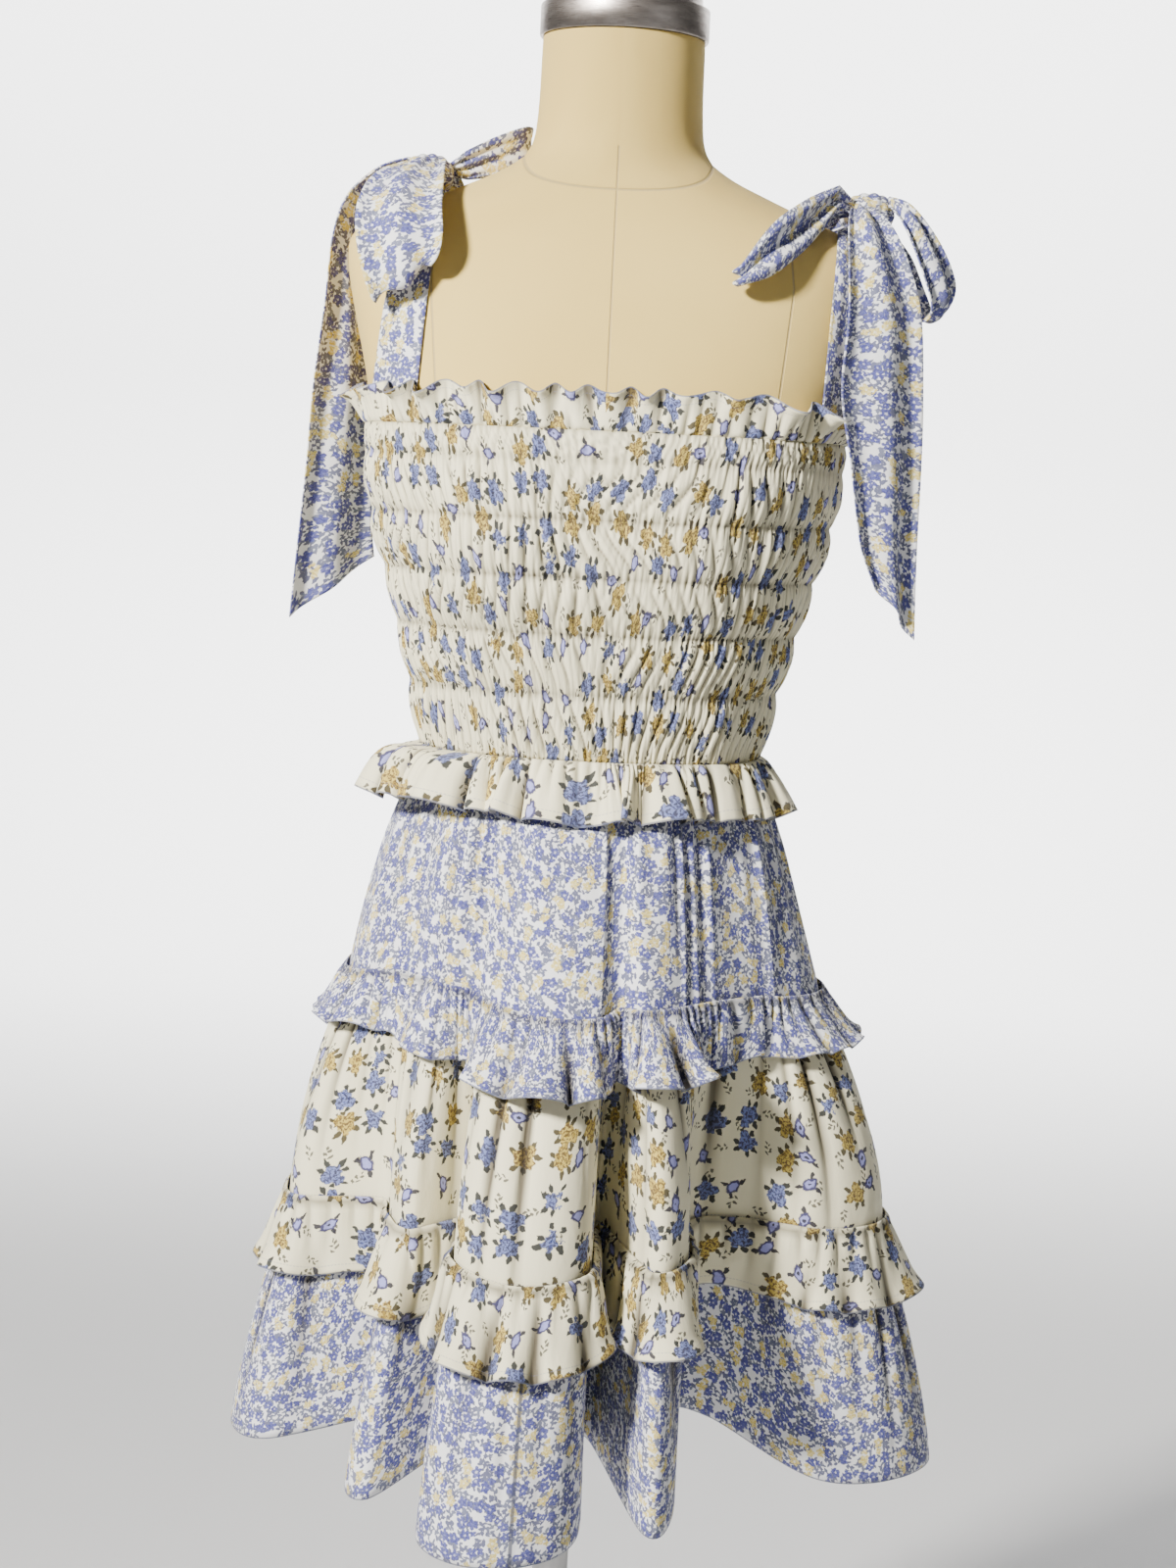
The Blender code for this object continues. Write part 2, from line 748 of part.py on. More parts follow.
def build_ruffle(name, level, finish):
    """A ruffle sewn over the seam between two tiers, made from the lower tier's points, moved out."""
    upper, lower, length, count, flare, side_lift, valley_share = RUFFLES[level]
    tier_length = np.mean(RINGS[level][:, 2]) - np.mean(RINGS[level + 1][:, 2])
    upper_length = WAIST - SEAM_1 if level == 0 else SEAM_1 - SEAM_2
    waves = ruffle_waves(count)
    reach = (valley_share + (1 - valley_share) * openness(level + 1)) * column_room(level) ** 2
    lift = side_lift * sideways() ** 2
    top = over_tier(upper, 1 - RUFFLE_HEAD / upper_length, CLOTH + LAP_GAP)
    rows = [kept_out(top, level, 1)]
    for share in RUFFLE_ROWS:
        ring = over_tier(lower, share * length / tier_length, CLOTH + LAP_GAP)
        ring = kept_out(ring, level, 1 - 0.5 * share**2)
        fullness = RUFFLE_LEAST_FLARE + (1 - RUFFLE_LEAST_FLARE) * waves
        ring = moved_out(ring, flare * share * fullness * reach)
        ring[:, 2] += share**2 * (lift + RUFFLE_SCALLOP * waves * reach)
        rows.append(ring)
    return cloth_sheet(name, np.array(rows), finish, CLOTH, True)


def build_waist_frill():
    """The frill below the waist elastic."""
    waves = ruffle_waves(WAIST_FRILL_WAVES)
    kick = np.exp(-(((np.degrees(ANGLES) - KICK_ANGLE) / KICK_SPREAD) ** 2))
    rows = []
    for share in (0.0, 0.4, 1.0):
        ring = over_tier(1, share * WAIST_FRILL / (WAIST - SEAM_1), CLOTH + LAP_GAP)
        ring = moved_out(ring, share * (WAIST_FRILL_FLARE * waves + KICK_FLARE * kick))
        ring[:, 2] += share * (KICK_LIFT * kick + WAIST_FRILL_SCALLOP * waves)
        rows.append(ring)
    return cloth_sheet("waist_frill", np.array(rows), FABRIC_FLORAL, CLOTH, True)


def build_top_frill():
    """The frill that stands above the top elastic, looser at the sides."""
    columns = TOP_FRILL_WAVES * 4
    foot = BODICE_TOP + SEAM_GAP + CLOTH / 2
    rows = []
    for share in (1.0, 0.45, 0.0):
        ring = []
        for k in range(columns):
            angle = 2 * math.pi * k / columns
            wave = 0.5 + 0.5 * math.sin(TOP_FRILL_WAVES * angle + 0.8 * math.sin(3 * angle))
            wave *= 0.8 + 0.2 * math.sin(5 * angle + 1)
            side = math.sin(angle) ** 4
            right = max(0.0, math.sin(angle)) ** 8
            flare = TOP_FRILL_FLARE * wave + TOP_FRILL_SIDE_FLARE * side + TOP_FRILL_RIGHT_FLARE * right
            fall = TOP_FRILL_SIDE_FALL * side + TOP_FRILL_RIGHT_FALL * right - TOP_FRILL_SCALLOP * wave
            z = foot + share * (TOP_FRILL - fall)
            ring.append(form_point(angle, z, TOP_FRILL_FOOT + share * flare))
        rows.append(ring)
    return cloth_sheet("top_frill", np.array(rows), FABRIC_FLORAL, CLOTH, True)


# Straps and bows


def knot_centre(x, lift):
    return shoulder_point(x, KNOT_TURN, KNOT_RADII[2] + SKIN_GAP + lift)


def build_knot(side, centre):
    mesh = bpy.data.meshes.new(f"knot_{side}")
    work = bmesh.new()
    bmesh.ops.create_uvsphere(work, u_segments=12, v_segments=8, radius=1.0)
    bmesh.ops.scale(work, vec=KNOT_RADII, verts=work.verts)
    work.to_mesh(mesh)
    work.free()
    mesh.shade_smooth()
    item = add_object(f"knot_{side}", mesh, FABRIC_DITSY)
    item.location = centre


def row_at_knot(row, centre):
    """Where a row of cloth meets the knot, gathered to less than its width."""
    middle = row.mean(axis=0)
    radii = np.array(KNOT_RADII) + KNOT_GAP
    ways = middle + (row - middle) * KNOT_GATHER - centre
    reach = 1 / np.linalg.norm(ways / radii, axis=1)
    return centre + ways * reach[:, None]


def build_strap(name, centre, foot, top, behind):
    """A flat strap lying on the form, from the bodice's edge to the knot."""
    out = SKIN_GAP + STRAP_LIFT + STRAP_CLOTH / 2
    grid = []
    for climb in np.linspace(0, 1, STRAP_ROWS + 1):
        x, width = np.array(foot) + (np.array(top) - np.array(foot)) * climb
        rise = min(1.0, climb / STRAP_CHEST_SHARE)
        turn = max(0.0, climb - STRAP_CHEST_SHARE) / (1 - STRAP_CHEST_SHARE) * STRAP_END_TURN
        row = []
        outer = x + math.copysign(width / 2, x)
        for column in range(STRAP_COLUMNS + 1):
            place = outer - math.copysign(width, x) * (column / STRAP_COLUMNS) ** STRAP_CROWDING
            if rise < 1:
                z = STRAP_FOOT + (SHOULDER_CENTRE - STRAP_FOOT) * rise
                row.append(chest_point(place, z, behind, out))
            else:
                row.append(shoulder_point(place, 180 - turn if behind else turn, out))
        grid.append(row)
    grid = np.array(grid)
    last = row_at_knot(grid[-1], centre)
    grid = np.concatenate([grid, last[None]])
    return cloth_sheet(name, grid, FABRIC_DITSY, STRAP_CLOTH, False)


def build_ribbon(name, rails, centre, loop, folds=0, depth=0.0):
    """A length of strap from the knot. It comes back to the knot if it is a loop.

    A row of rails is a point of one edge and then one of the other edge, in millimetres.
    """
    rails = np.array(rails, float).reshape(len(rails), 2, 3) / 1000
    padded = np.concatenate([rails[:1], rails, rails[-1:]])
    stations = []
    for i in range(len(rails) - 1):
        for step in range(RIBBON_STEPS):
            stations.append(hermite(*padded[i : i + 4], step / RIBBON_STEPS))
    stations.append(rails[-1])
    shares = np.linspace(0, 1, RIBBON_COLUMNS + 1)[:, None]
    grid = []
    for i, (one, other) in enumerate(stations):
        before, after = stations[max(i - 1, 0)], stations[min(i + 1, len(stations) - 1)]
        out = np.cross(other - one, (after - before).sum(axis=0))
        out /= np.linalg.norm(out)
        wave = depth * np.sin(math.pi * folds * shares) * math.sin(math.pi * (i + 1) / (len(stations) + 1))
        grid.append(one + (other - one) * shares + out * wave)
    grid = np.array(grid)
    first, last = row_at_knot(grid[0], centre), row_at_knot(grid[-1], centre)
    grid = np.concatenate([first[None], grid, last[None]] if loop else [first[None], grid])
    return cloth_sheet(name, grid, FABRIC_DITSY, STRAP_CLOTH, False)


def build_left_bow():
    """The bow on the -X shoulder: one loop falls forward, the other lies towards the neck."""
    centre = knot_centre(LEFT_KNOT_X, LEFT_KNOT_LIFT)
    build_knot("left", centre)
    build_strap("strap_front_left", centre, (-0.139, 0.032), (-0.124, 0.022), False)
    build_strap("strap_back_left", centre, (-0.118, 0.033), (-0.121, 0.022), True)
    build_ribbon("loop_front_left", LOOP_FRONT_LEFT, centre, True)
    build_ribbon("loop_back_left", LOOP_BACK_LEFT, centre, True)
    build_ribbon("tail_outer_left", TAIL_OUTER_LEFT, centre, False, 1, 0.003)
    build_ribbon("tail_back_left", TAIL_BACK_LEFT, centre, False, 1, 0.003)


def build_right_bow():
    """The bow on the +X shoulder: a long loop on the chest, a short one outside, a tail in front."""
    centre = knot_centre(RIGHT_KNOT_X, RIGHT_KNOT_LIFT)
    build_knot("right", centre)
    build_strap("strap_front_right", centre, (0.1475, 0.018), (0.156, 0.018), False)
    build_strap("strap_back_right", centre, (0.120, 0.033), (0.152, 0.020), True)
    build_ribbon("loop_inner_right", LOOP_INNER_RIGHT, centre, True)
    build_ribbon("loop_outer_right", LOOP_OUTER_RIGHT, centre, True)
    build_ribbon("tail_front_right", TAIL_FRONT_RIGHT, centre, False, 3, 0.003)
    build_ribbon("tail_back_right", TAIL_BACK_RIGHT, centre, False, 1, 0.003)


def build():
    global parts
    clear_scene()
    parts = make_collection("sundress on dress form")
    build_torso()
    build_neck_cap()
    build_stand()
    build_bodice_panel("bodice_front", -FORM_COLUMNS // 4)
    build_bodice_panel("bodice_back", FORM_COLUMNS // 4)
    build_top_frill()
    build_waist_frill()
    build_tier("tier_1", 1, (0.0, 0.3, 0.65, 1.0), FABRIC_DITSY)
    build_tier("tier_2", 2, (0.0, 0.15, 0.5, 1.0), FABRIC_FLORAL)
    build_tier("tier_3", 3, (0.0, 0.3, 1.0), FABRIC_DITSY)
    build_ruffle("ruffle_1", 0, FABRIC_DITSY)
    build_ruffle("ruffle_2", 1, FABRIC_FLORAL)
    build_left_bow()
    build_right_bow()


build()
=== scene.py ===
import math

import bpy
import numpy as np
from mathutils import Matrix, Vector


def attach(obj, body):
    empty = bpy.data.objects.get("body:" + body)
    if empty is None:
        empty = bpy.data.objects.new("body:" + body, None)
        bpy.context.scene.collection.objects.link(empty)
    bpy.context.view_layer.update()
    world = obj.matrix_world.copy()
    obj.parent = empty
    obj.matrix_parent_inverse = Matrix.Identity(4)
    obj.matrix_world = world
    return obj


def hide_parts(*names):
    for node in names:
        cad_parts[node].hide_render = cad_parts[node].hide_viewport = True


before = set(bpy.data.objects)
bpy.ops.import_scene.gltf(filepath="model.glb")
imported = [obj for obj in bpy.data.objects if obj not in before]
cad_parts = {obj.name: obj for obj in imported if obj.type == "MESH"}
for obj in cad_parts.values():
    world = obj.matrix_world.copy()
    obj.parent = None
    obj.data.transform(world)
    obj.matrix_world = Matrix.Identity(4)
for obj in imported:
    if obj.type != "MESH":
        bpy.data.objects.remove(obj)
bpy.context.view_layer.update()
print("frame loaded:", len(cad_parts), "nodes")

heights = {
    "baseTop": 0.026,
    "torsoBottom": 0.690,
    "waist": 0.960,
    "bodiceTop": 1.175,
    "strapFoot": 1.178,
    "shoulder": 1.250,
    "neckTop": 1.435,
    "seam1": 0.800,
    "seam2": 0.647,
    "hem": 0.482,
}


# Camera and light


camera = {
    "place": (0.0, -1.8, 1.137),
    "pitch": 6.37,  # degrees below level
    "roll": 2.8,
    "lens": 60.46,
    "sensor": 36.0,
}


def buildCamera():
    data = bpy.data.cameras.new("photoCamera")
    data.sensor_fit = "VERTICAL"
    data.sensor_height = camera["sensor"]
    data.lens = camera["lens"]
    data.clip_end = 40
    eye = bpy.data.objects.new("photoCamera", data)
    bpy.context.scene.collection.objects.link(eye)
    pitch, roll = math.radians(camera["pitch"]), math.radians(camera["roll"])
    forward = Vector((0, math.cos(pitch), -math.sin(pitch)))
    level = Vector((1, 0, 0))
    above = level.cross(forward)
    right = math.cos(roll) * level + math.sin(roll) * above
    up = -math.sin(roll) * level + math.cos(roll) * above
    eye.rotation_euler = Matrix((right, up, -forward)).transposed().to_euler()
    eye.location = camera["place"]
    bpy.context.scene.camera = eye


lights = {
    # name: place, aim, width, height, watts, spread in degrees, colour
    "key": ((-1.90, -2.30, 2.45), (0, 0, 0.95), 0.40, 0.40, 65, 80, (1.0, 0.97, 0.92)),
    "fill": ((2.6, -2.4, 1.4), (0, 0, 0.95), 2.0, 2.2, 3, 120, (0.93, 0.96, 1.0)),
    "rim": ((1.8, 2.2, 2.2), (0, 0, 1.0), 1.4, 1.4, 5, 120, (1.0, 1.0, 1.0)),
    "backdrop": ((0.0, 3.1, 4.6), (0, 5.6, 0.9), 6.0, 1.4, 520, 100, (1.0, 1.0, 1.0)),
    "floorInFront": ((0.0, -4.0, 5.0), (0, -4.6, 0.0), 2.4, 1.2, 60, 76, (1.0, 1.0, 1.0)),
    "floorLeft": ((-4.0, 0.6, 5.0), (-4.6, 0.6, 0.0), 1.2, 2.4, 40, 76, (1.0, 1.0, 1.0)),
    "floorRight": ((4.0, 0.6, 5.0), (4.6, 0.6, 0.0), 1.2, 2.4, 40, 76, (1.0, 1.0, 1.0)),
}
# The light it gives, and what the camera sees of it beyond the studio
world = {"strength": 0.14, "seen": 0.62}


def buildLights():
    for name, (place, aim, width, height, watts, spread, colour) in lights.items():
        data = bpy.data.lights.new(name, "AREA")
        data.shape = "RECTANGLE"
        data.size, data.size_y = width, height
        data.energy = watts
        data.spread = math.radians(spread)
        data.color = colour
        lamp = bpy.data.objects.new(name, data)
        lamp.location = place
        lamp.rotation_euler = (Vector(aim) - Vector(place)).to_track_quat("-Z", "Y").to_euler()
        bpy.context.scene.collection.objects.link(lamp)
    sky = bpy.data.worlds.new("studio")
    sky.use_nodes = True
    background = sky.node_tree.nodes["Background"]
    background.inputs["Color"].default_value = (1.0, 1.0, 1.0, 1.0)
    seen = addNode(sky.node_tree, "LightPath").outputs["Is Camera Ray"]
    strength = fade(sky.node_tree, seen, 0.0, 1.0, world["strength"], world["seen"])
    sky.node_tree.links.new(strength, background.inputs["Strength"])
    bpy.context.scene.world = sky


# Nodes


def addNode(tree, kind, *values, **settings):
    made = tree.nodes.new("ShaderNode" + kind)
    for name, value in settings.items():
        setattr(made, name, value)
    for socket, value in zip(made.inputs, values):
        if isinstance(value, bpy.types.NodeSocket):
            tree.links.new(value, socket)
        elif value is not None:
            socket.default_value = value
    return made


def calc(tree, operation, *values):
    return addNode(tree, "Math", *values, operation=operation).outputs[0]


def vectorCalc(tree, operation, *values):
    made = addNode(tree, "VectorMath", operation=operation)
    vectors = [socket for socket in made.inputs if socket.name != "Scale"]
    for socket, value in zip(vectors, values):
        if isinstance(value, bpy.types.NodeSocket):
            tree.links.new(value, socket)
        else:
            socket.default_value = value
    return made.outputs["Value"] if operation == "LENGTH" else made.outputs["Vector"]


def scaled(tree, vector, factor):
    made = addNode(tree, "VectorMath", operation="SCALE")
    tree.links.new(vector, made.inputs[0])
    if isinstance(factor, bpy.types.NodeSocket):
        tree.links.new(factor, made.inputs["Scale"])
    else:
        made.inputs["Scale"].default_value = factor
    return made.outputs["Vector"]


def blend(tree, factor, under, over, way="MIX"):
    made = addNode(tree, "Mix", data_type="RGBA", blend_type=way)
    for socket, value in ((made.inputs[0], factor), (made.inputs[6], under), (made.inputs[7], over)):
        if isinstance(value, bpy.types.NodeSocket):
            tree.links.new(value, socket)
        elif socket.type == "RGBA":
            socket.default_value = (*value, 1.0)
        else:
            socket.default_value = value
    return made.outputs[2]


def fade(tree, value, start, end, low=0.0, high=1.0):
    made = addNode(tree, "MapRange", value, start, end, low, high, interpolation_type="SMOOTHSTEP")
    return made.outputs[0]


def inside(tree, value, start, end):
    # 1 below start, 0 above end
    return fade(tree, value, start, end, 1.0, 0.0)


def awayFrom(tree, value, place):
    return calc(tree, "ABSOLUTE", calc(tree, "SUBTRACT", value, place))


def newGroup(name, inputs, outputs):
    group = bpy.data.node_groups.new(name, "ShaderNodeTree")
    kinds = {"vector": "NodeSocketVector", "colour": "NodeSocketColor", "value": "NodeSocketFloat"}
    for label, kind, value in inputs:
        socket = group.interface.new_socket(name=label, in_out="INPUT", socket_type=kinds[kind])
        if value is not None:
            socket.default_value = value
    for label, kind in outputs:
        group.interface.new_socket(name=label, in_out="OUTPUT", socket_type=kinds[kind])
    return group, group.nodes.new("NodeGroupInput").outputs, group.nodes.new("NodeGroupOutput").inputs


def placeGroup(tree, group, **values):
    made = tree.nodes.new("ShaderNodeGroup")
    made.node_tree = group
    for label, value in values.items():
        if isinstance(value, bpy.types.NodeSocket):
            tree.links.new(value, made.inputs[label])
        else:
            made.inputs[label].default_value = value
    return made.outputs


def noise(tree, place, scale=5.0, detail=2.0):
    # The second input is W, which 2D noise doesn't use
    return addNode(tree, "TexNoise", place, None, scale, detail, noise_dimensions="2D").outputs


def bump(tree, height, strength, distance, under=None, invert=False):
    made = addNode(tree, "Bump", strength, distance, invert=invert)
    tree.links.new(height, made.inputs["Height"])
    if under is not None:
        tree.links.new(under, made.inputs["Normal"])
    return made.outputs[0]


def uvOf(tree):
    return addNode(tree, "UVMap", uv_map="clothUV").outputs[0]


def ownAxes(tree, local, x, y, length, width, turn):
    # A spot of the print, by its middle in millimetres, half length and half width, both 1 at its edge
    middle, tilt, size = (x, y, 0), (0, 0, math.radians(turn)), (length, width, 1)
    return addNode(tree, "Mapping", local, middle, tilt, size, vector_type="TEXTURE").outputs[0]


def roundSpot(tree, local, x, y, length, width):
    reach = vectorCalc(tree, "LENGTH", ownAxes(tree, local, x, y, length, width, 0.0))
    return inside(tree, reach, 0.88, 1.12)


def leafSpot(tree, local, x, y, length, width, turn=0.0):
    # A leaf with pointed ends
    parts = addNode(tree, "SeparateXYZ", ownAxes(tree, local, x, y, length, width, turn)).outputs
    reach = calc(tree, "ADD", calc(tree, "ABSOLUTE", parts[1]), calc(tree, "MULTIPLY", parts[0], parts[0]))
    return inside(tree, reach, 0.84, 1.16)


def bloomReach(tree, local, x, y, radius, petals, depth):
    # How far out a point lies in a flower with round petals: 1 at its edge
    away = vectorCalc(tree, "SUBTRACT", local, (x, y, 0))
    parts = addNode(tree, "SeparateXYZ", away).outputs
    angle = calc(tree, "MULTIPLY", calc(tree, "ARCTAN2", parts[1], parts[0]), petals / 2)
    lobes = calc(tree, "ABSOLUTE", calc(tree, "COSINE", angle))
    edge = calc(tree, "MULTIPLY", calc(tree, "MULTIPLY_ADD", lobes, depth, 1 - depth), radius)
    return calc(tree, "DIVIDE", vectorCalc(tree, "LENGTH", away), edge)


def allOf(tree, masks):
    total = masks[0]
    for mask in masks[1:]:
        total = calc(tree, "MAXIMUM", total, mask)
    return total


def motifs(tree, place, cell, scatter, shift):
    # Scatters motifs: each point's place about the nearest one, turned at random, and three random numbers
    moved = scaled(tree, vectorCalc(tree, "ADD", place, (shift, shift * 1.7, 0)), 1 / cell)
    cells = addNode(tree, "TexVoronoi", moved, voronoi_dimensions="2D", feature="F1")
    cells.inputs["Scale"].default_value = 1.0
    cells.inputs["Randomness"].default_value = scatter
    local = vectorCalc(tree, "SUBTRACT", moved, cells.outputs["Position"])
    picks = addNode(tree, "SeparateColor", cells.outputs["Color"]).outputs
    turned = addNode(tree, "VectorRotate", rotation_type="Z_AXIS")
    tree.links.new(scaled(tree, local, cell), turned.inputs["Vector"])
    tree.links.new(calc(tree, "MULTIPLY", picks[1], 2 * math.pi), turned.inputs["Angle"])
    return turned.outputs[0], picks


def wobbled(tree, place, wobbles):
    # Each wobble has a size and a depth in millimetres
    for size, depth in wobbles:
        away = vectorCalc(tree, "SUBTRACT", noise(tree, place, 1 / size, 1.0)["Color"], (0.5, 0.5, 0.5))
        place = vectorCalc(tree, "ADD", place, scaled(tree, away, depth * 2))
    return place


# The two cottons


roses = {
    "ground": (0.850, 0.795, 0.560),
    "cell": 25.0,  # millimetres between motifs
    "scatter": 0.62,
    "size": 1.06,
    "wobbles": ((60.0, 6.5), (4.0, 1.3), (1.3, 0.45)),
    "budsUpTo": 0.34,  # of the random numbers from 0 to 1
    "ochreFrom": 0.68,
    "curls": (0.40, 0.80),  # shares of a rose's radius
    "bluePetal": (0.045, 0.060, 0.215),
    "blueLight": (0.150, 0.195, 0.460),
    "blueDark": (0.010, 0.012, 0.055),
    "blueLeaf": (0.010, 0.013, 0.016),
    "ochrePetal": (0.290, 0.185, 0.016),
    "ochreLight": (0.570, 0.420, 0.078),
    "ochreDark": (0.080, 0.036, 0.008),
    "ochreLeaf": (0.055, 0.040, 0.010),
    "budRim": (0.024, 0.022, 0.120),
    "budLight": (0.300, 0.310, 0.680),
    "budHeart": (0.008, 0.008, 0.040),
    "budLeaf": (0.018, 0.016, 0.030),
    "twig": (0.034, 0.030, 0.020),
    # x, y, radius in millimetres, petals
    "blooms": ((-1.8, 0.2, 5.6, 5), (3.6, 2.9, 4.3, 4), (2.8, -3.7, 3.7, 5)),
    "leaves": (  # x, y, half length, half width, turn
        (-7.0, 4.2, 3.5, 1.9, 140), (-3.0, 7.0, 3.1, 1.7, 96), (8.2, -0.8, 3.0, 1.7, -15),
        (-6.6, -4.2, 3.5, 1.9, 218), (-1.6, -7.0, 3.2, 1.8, -104), (6.4, 6.6, 2.6, 1.3, 50),
    ),
    "budLeaves": ((-6.0, 3.0, 3.3, 1.4, 145), (6.2, 2.6, 3.1, 1.3, 28), (0.8, -5.7, 3.0, 1.4, -80)),
    "sprigCell": 19.0,
    "sprigsFrom": 0.38,
    "sprig": (
        (-3.8, 1.4, 1.9, 0.85, 40), (-2.0, -1.3, 1.9, 0.85, -45), (0.2, 1.6, 1.8, 0.85, 50),
        (1.8, -1.0, 1.8, 0.8, -40), (4.0, 0.5, 1.8, 0.8, 10),
    ),
}


def buildRosePrint():
    tree, given, out = newGroup("rosePrint", [("UV", "vector", None)], [("Color", "colour")])
    place = wobbled(tree, scaled(tree, given["UV"], 1000), roses["wobbles"])
    local, picks = motifs(tree, place, roses["cell"], roses["scatter"], 3.0)
    local = scaled(tree, local, 1 / roses["size"])
    isBud = calc(tree, "LESS_THAN", picks[0], roses["budsUpTo"])
    isOchre = calc(tree, "GREATER_THAN", picks[0], roses["ochreFrom"])
    mottle = noise(tree, place, 0.55)[0]
    strokes = fade(tree, mottle, 0.44, 0.52)
    patches = fade(tree, mottle, 0.49, 0.56)

    # A bunch: roses with dark curls in them, and leaves tucked under
    petals, curls = [], []
    for bloom in roses["blooms"]:
        reach = bloomReach(tree, local, *bloom, 0.20)
        petals.append(inside(tree, reach, 0.93, 1.07))
        curls += [inside(tree, awayFrom(tree, reach, at), 0.07, 0.19) for at in roses["curls"]]
    flower = allOf(tree, petals)
    curl = calc(tree, "MULTIPLY", allOf(tree, curls), strokes)
    leaves = allOf(tree, [leafSpot(tree, local, *leaf) for leaf in roses["leaves"]])
    light, middle, dark, leaf = [
        blend(tree, isOchre, roses["blue" + tone], roses["ochre" + tone])
        for tone in ("Light", "Petal", "Dark", "Leaf")
    ]
    petal = blend(tree, patches, light, middle)
    petal = blend(tree, calc(tree, "MULTIPLY", curl, 0.85), petal, dark)
    bunch = blend(tree, flower, leaf, petal)
    bunchMask = allOf(tree, [flower, leaves])

    # A bud with a dark heart
    body = leafSpot(tree, local, 0, 0, 6.4, 3.9)
    bud = blend(tree, leafSpot(tree, local, 0.2, 0.1, 4.2, 2.4), roses["budRim"], roses["budLight"])
    bud = blend(tree, roundSpot(tree, local, -0.4, 0.1, 1.5, 1.1), bud, roses["budHeart"])
    bud = blend(tree, body, roses["budLeaf"], bud)
    budMask = allOf(tree, [body, *[leafSpot(tree, local, *leaf) for leaf in roses["budLeaves"]]])

    # Sprigs lie between them, under the motifs
    sprigPlace, sprigPicks = motifs(tree, place, roses["sprigCell"], 0.6, 61.0)
    sprig = allOf(tree, [leafSpot(tree, sprigPlace, *leaf) for leaf in roses["sprig"]])
    sprig = calc(tree, "MULTIPLY", sprig, calc(tree, "GREATER_THAN", sprigPicks[0], roses["sprigsFrom"]))
    mask = blend(tree, isBud, bunchMask, budMask)
    ink = blend(tree, isBud, bunch, bud)
    colour = blend(tree, calc(tree, "MULTIPLY", sprig, 0.85), roses["ground"], roses["twig"])
    colour = blend(tree, calc(tree, "MULTIPLY", mask, 0.96), colour, ink)
    tree.links.new(colour, out["Color"])
    return tree


ditsy = {
    "ground": (0.840, 0.845, 0.870),
    "cell": 11.6,
    "size": 0.90,
    "blue": (0.052, 0.055, 0.235),
    "blueLight": (0.098, 0.106, 0.365),
    "yellow": (0.640, 0.500, 0.120),
    "yellowLight": (0.800, 0.700, 0.330),
    "leaf": (0.050, 0.056, 0.155),
    "leafGrey": (0.100, 0.115, 0.210),
    "wobbles": ((40.0, 3.5), (2.6, 0.8), (0.9, 0.25)),
    "yellowFrom": 0.73,  # of the random numbers from 0 to 1
    "blooms": ((-1.7, 1.0, 4.2, 5), (3.4, -2.5, 2.8, 4)),
    "sprays": ((11.0, 17.0), (12.5, 43.0), (10.3, 71.0)),  # cell and shift
    "sprayLeaves": (
        (-2.9, 2.2, 2.1, 1.0, 50), (-0.6, -1.3, 2.1, 1.0, -40),
        (1.5, 1.7, 2.0, 1.0, 48), (3.4, -0.5, 1.9, 0.9, -30),
    ),
}


def leafSpray(tree, place, cell, shift):
    # A curved stem with leaves on both sides
    local, _ = motifs(tree, place, cell, 0.7, shift)
    parts = addNode(tree, "SeparateXYZ", local).outputs
    bend = calc(tree, "MULTIPLY", calc(tree, "MULTIPLY", parts[0], parts[0]), 0.10)
    stem = inside(tree, awayFrom(tree, parts[1], bend), 0.34, 0.54)
    stem = calc(tree, "MULTIPLY", stem, inside(tree, calc(tree, "ABSOLUTE", parts[0]), 3.0, 3.5))
    return allOf(tree, [stem, *[leafSpot(tree, local, *leaf) for leaf in ditsy["sprayLeaves"]]])


def buildDitsyPrint():
    tree, given, out = newGroup("ditsyPrint", [("UV", "vector", None)], [("Color", "colour")])
    place = wobbled(tree, scaled(tree, given["UV"], 1000 / ditsy["size"]), ditsy["wobbles"])
    spray = allOf(tree, [leafSpray(tree, place, cell, shift) for cell, shift in ditsy["sprays"]])
    local, picks = motifs(tree, place, ditsy["cell"], 0.80, 5.0)
    reaches = [bloomReach(tree, local, *bloom, 0.40) for bloom in ditsy["blooms"]]
    blossom = allOf(tree, [inside(tree, reach, 0.9, 1.1) for reach in reaches])
    heart = allOf(tree, [inside(tree, reach, 0.16, 0.34) for reach in reaches])
    patches = fade(tree, noise(tree, place, 0.8)[0], 0.42, 0.60)
    blue = blend(tree, patches, ditsy["blue"], ditsy["blueLight"])
    yellow = blend(tree, patches, ditsy["yellow"], ditsy["yellowLight"])
    petal = blend(tree, calc(tree, "GREATER_THAN", picks[0], ditsy["yellowFrom"]), blue, yellow)
    petal = blend(tree, calc(tree, "MULTIPLY", heart, 0.7), petal, ditsy["ground"])
    leaf = blend(tree, fade(tree, noise(tree, place, 0.08)[0], 0.45, 0.62), ditsy["leaf"], ditsy["leafGrey"])
    colour = blend(tree, calc(tree, "MULTIPLY", spray, 0.9), ditsy["ground"], leaf)
    colour = blend(tree, calc(tree, "MULTIPLY", blossom, 0.95), colour, petal)
    tree.links.new(colour, out["Color"])
    return tree


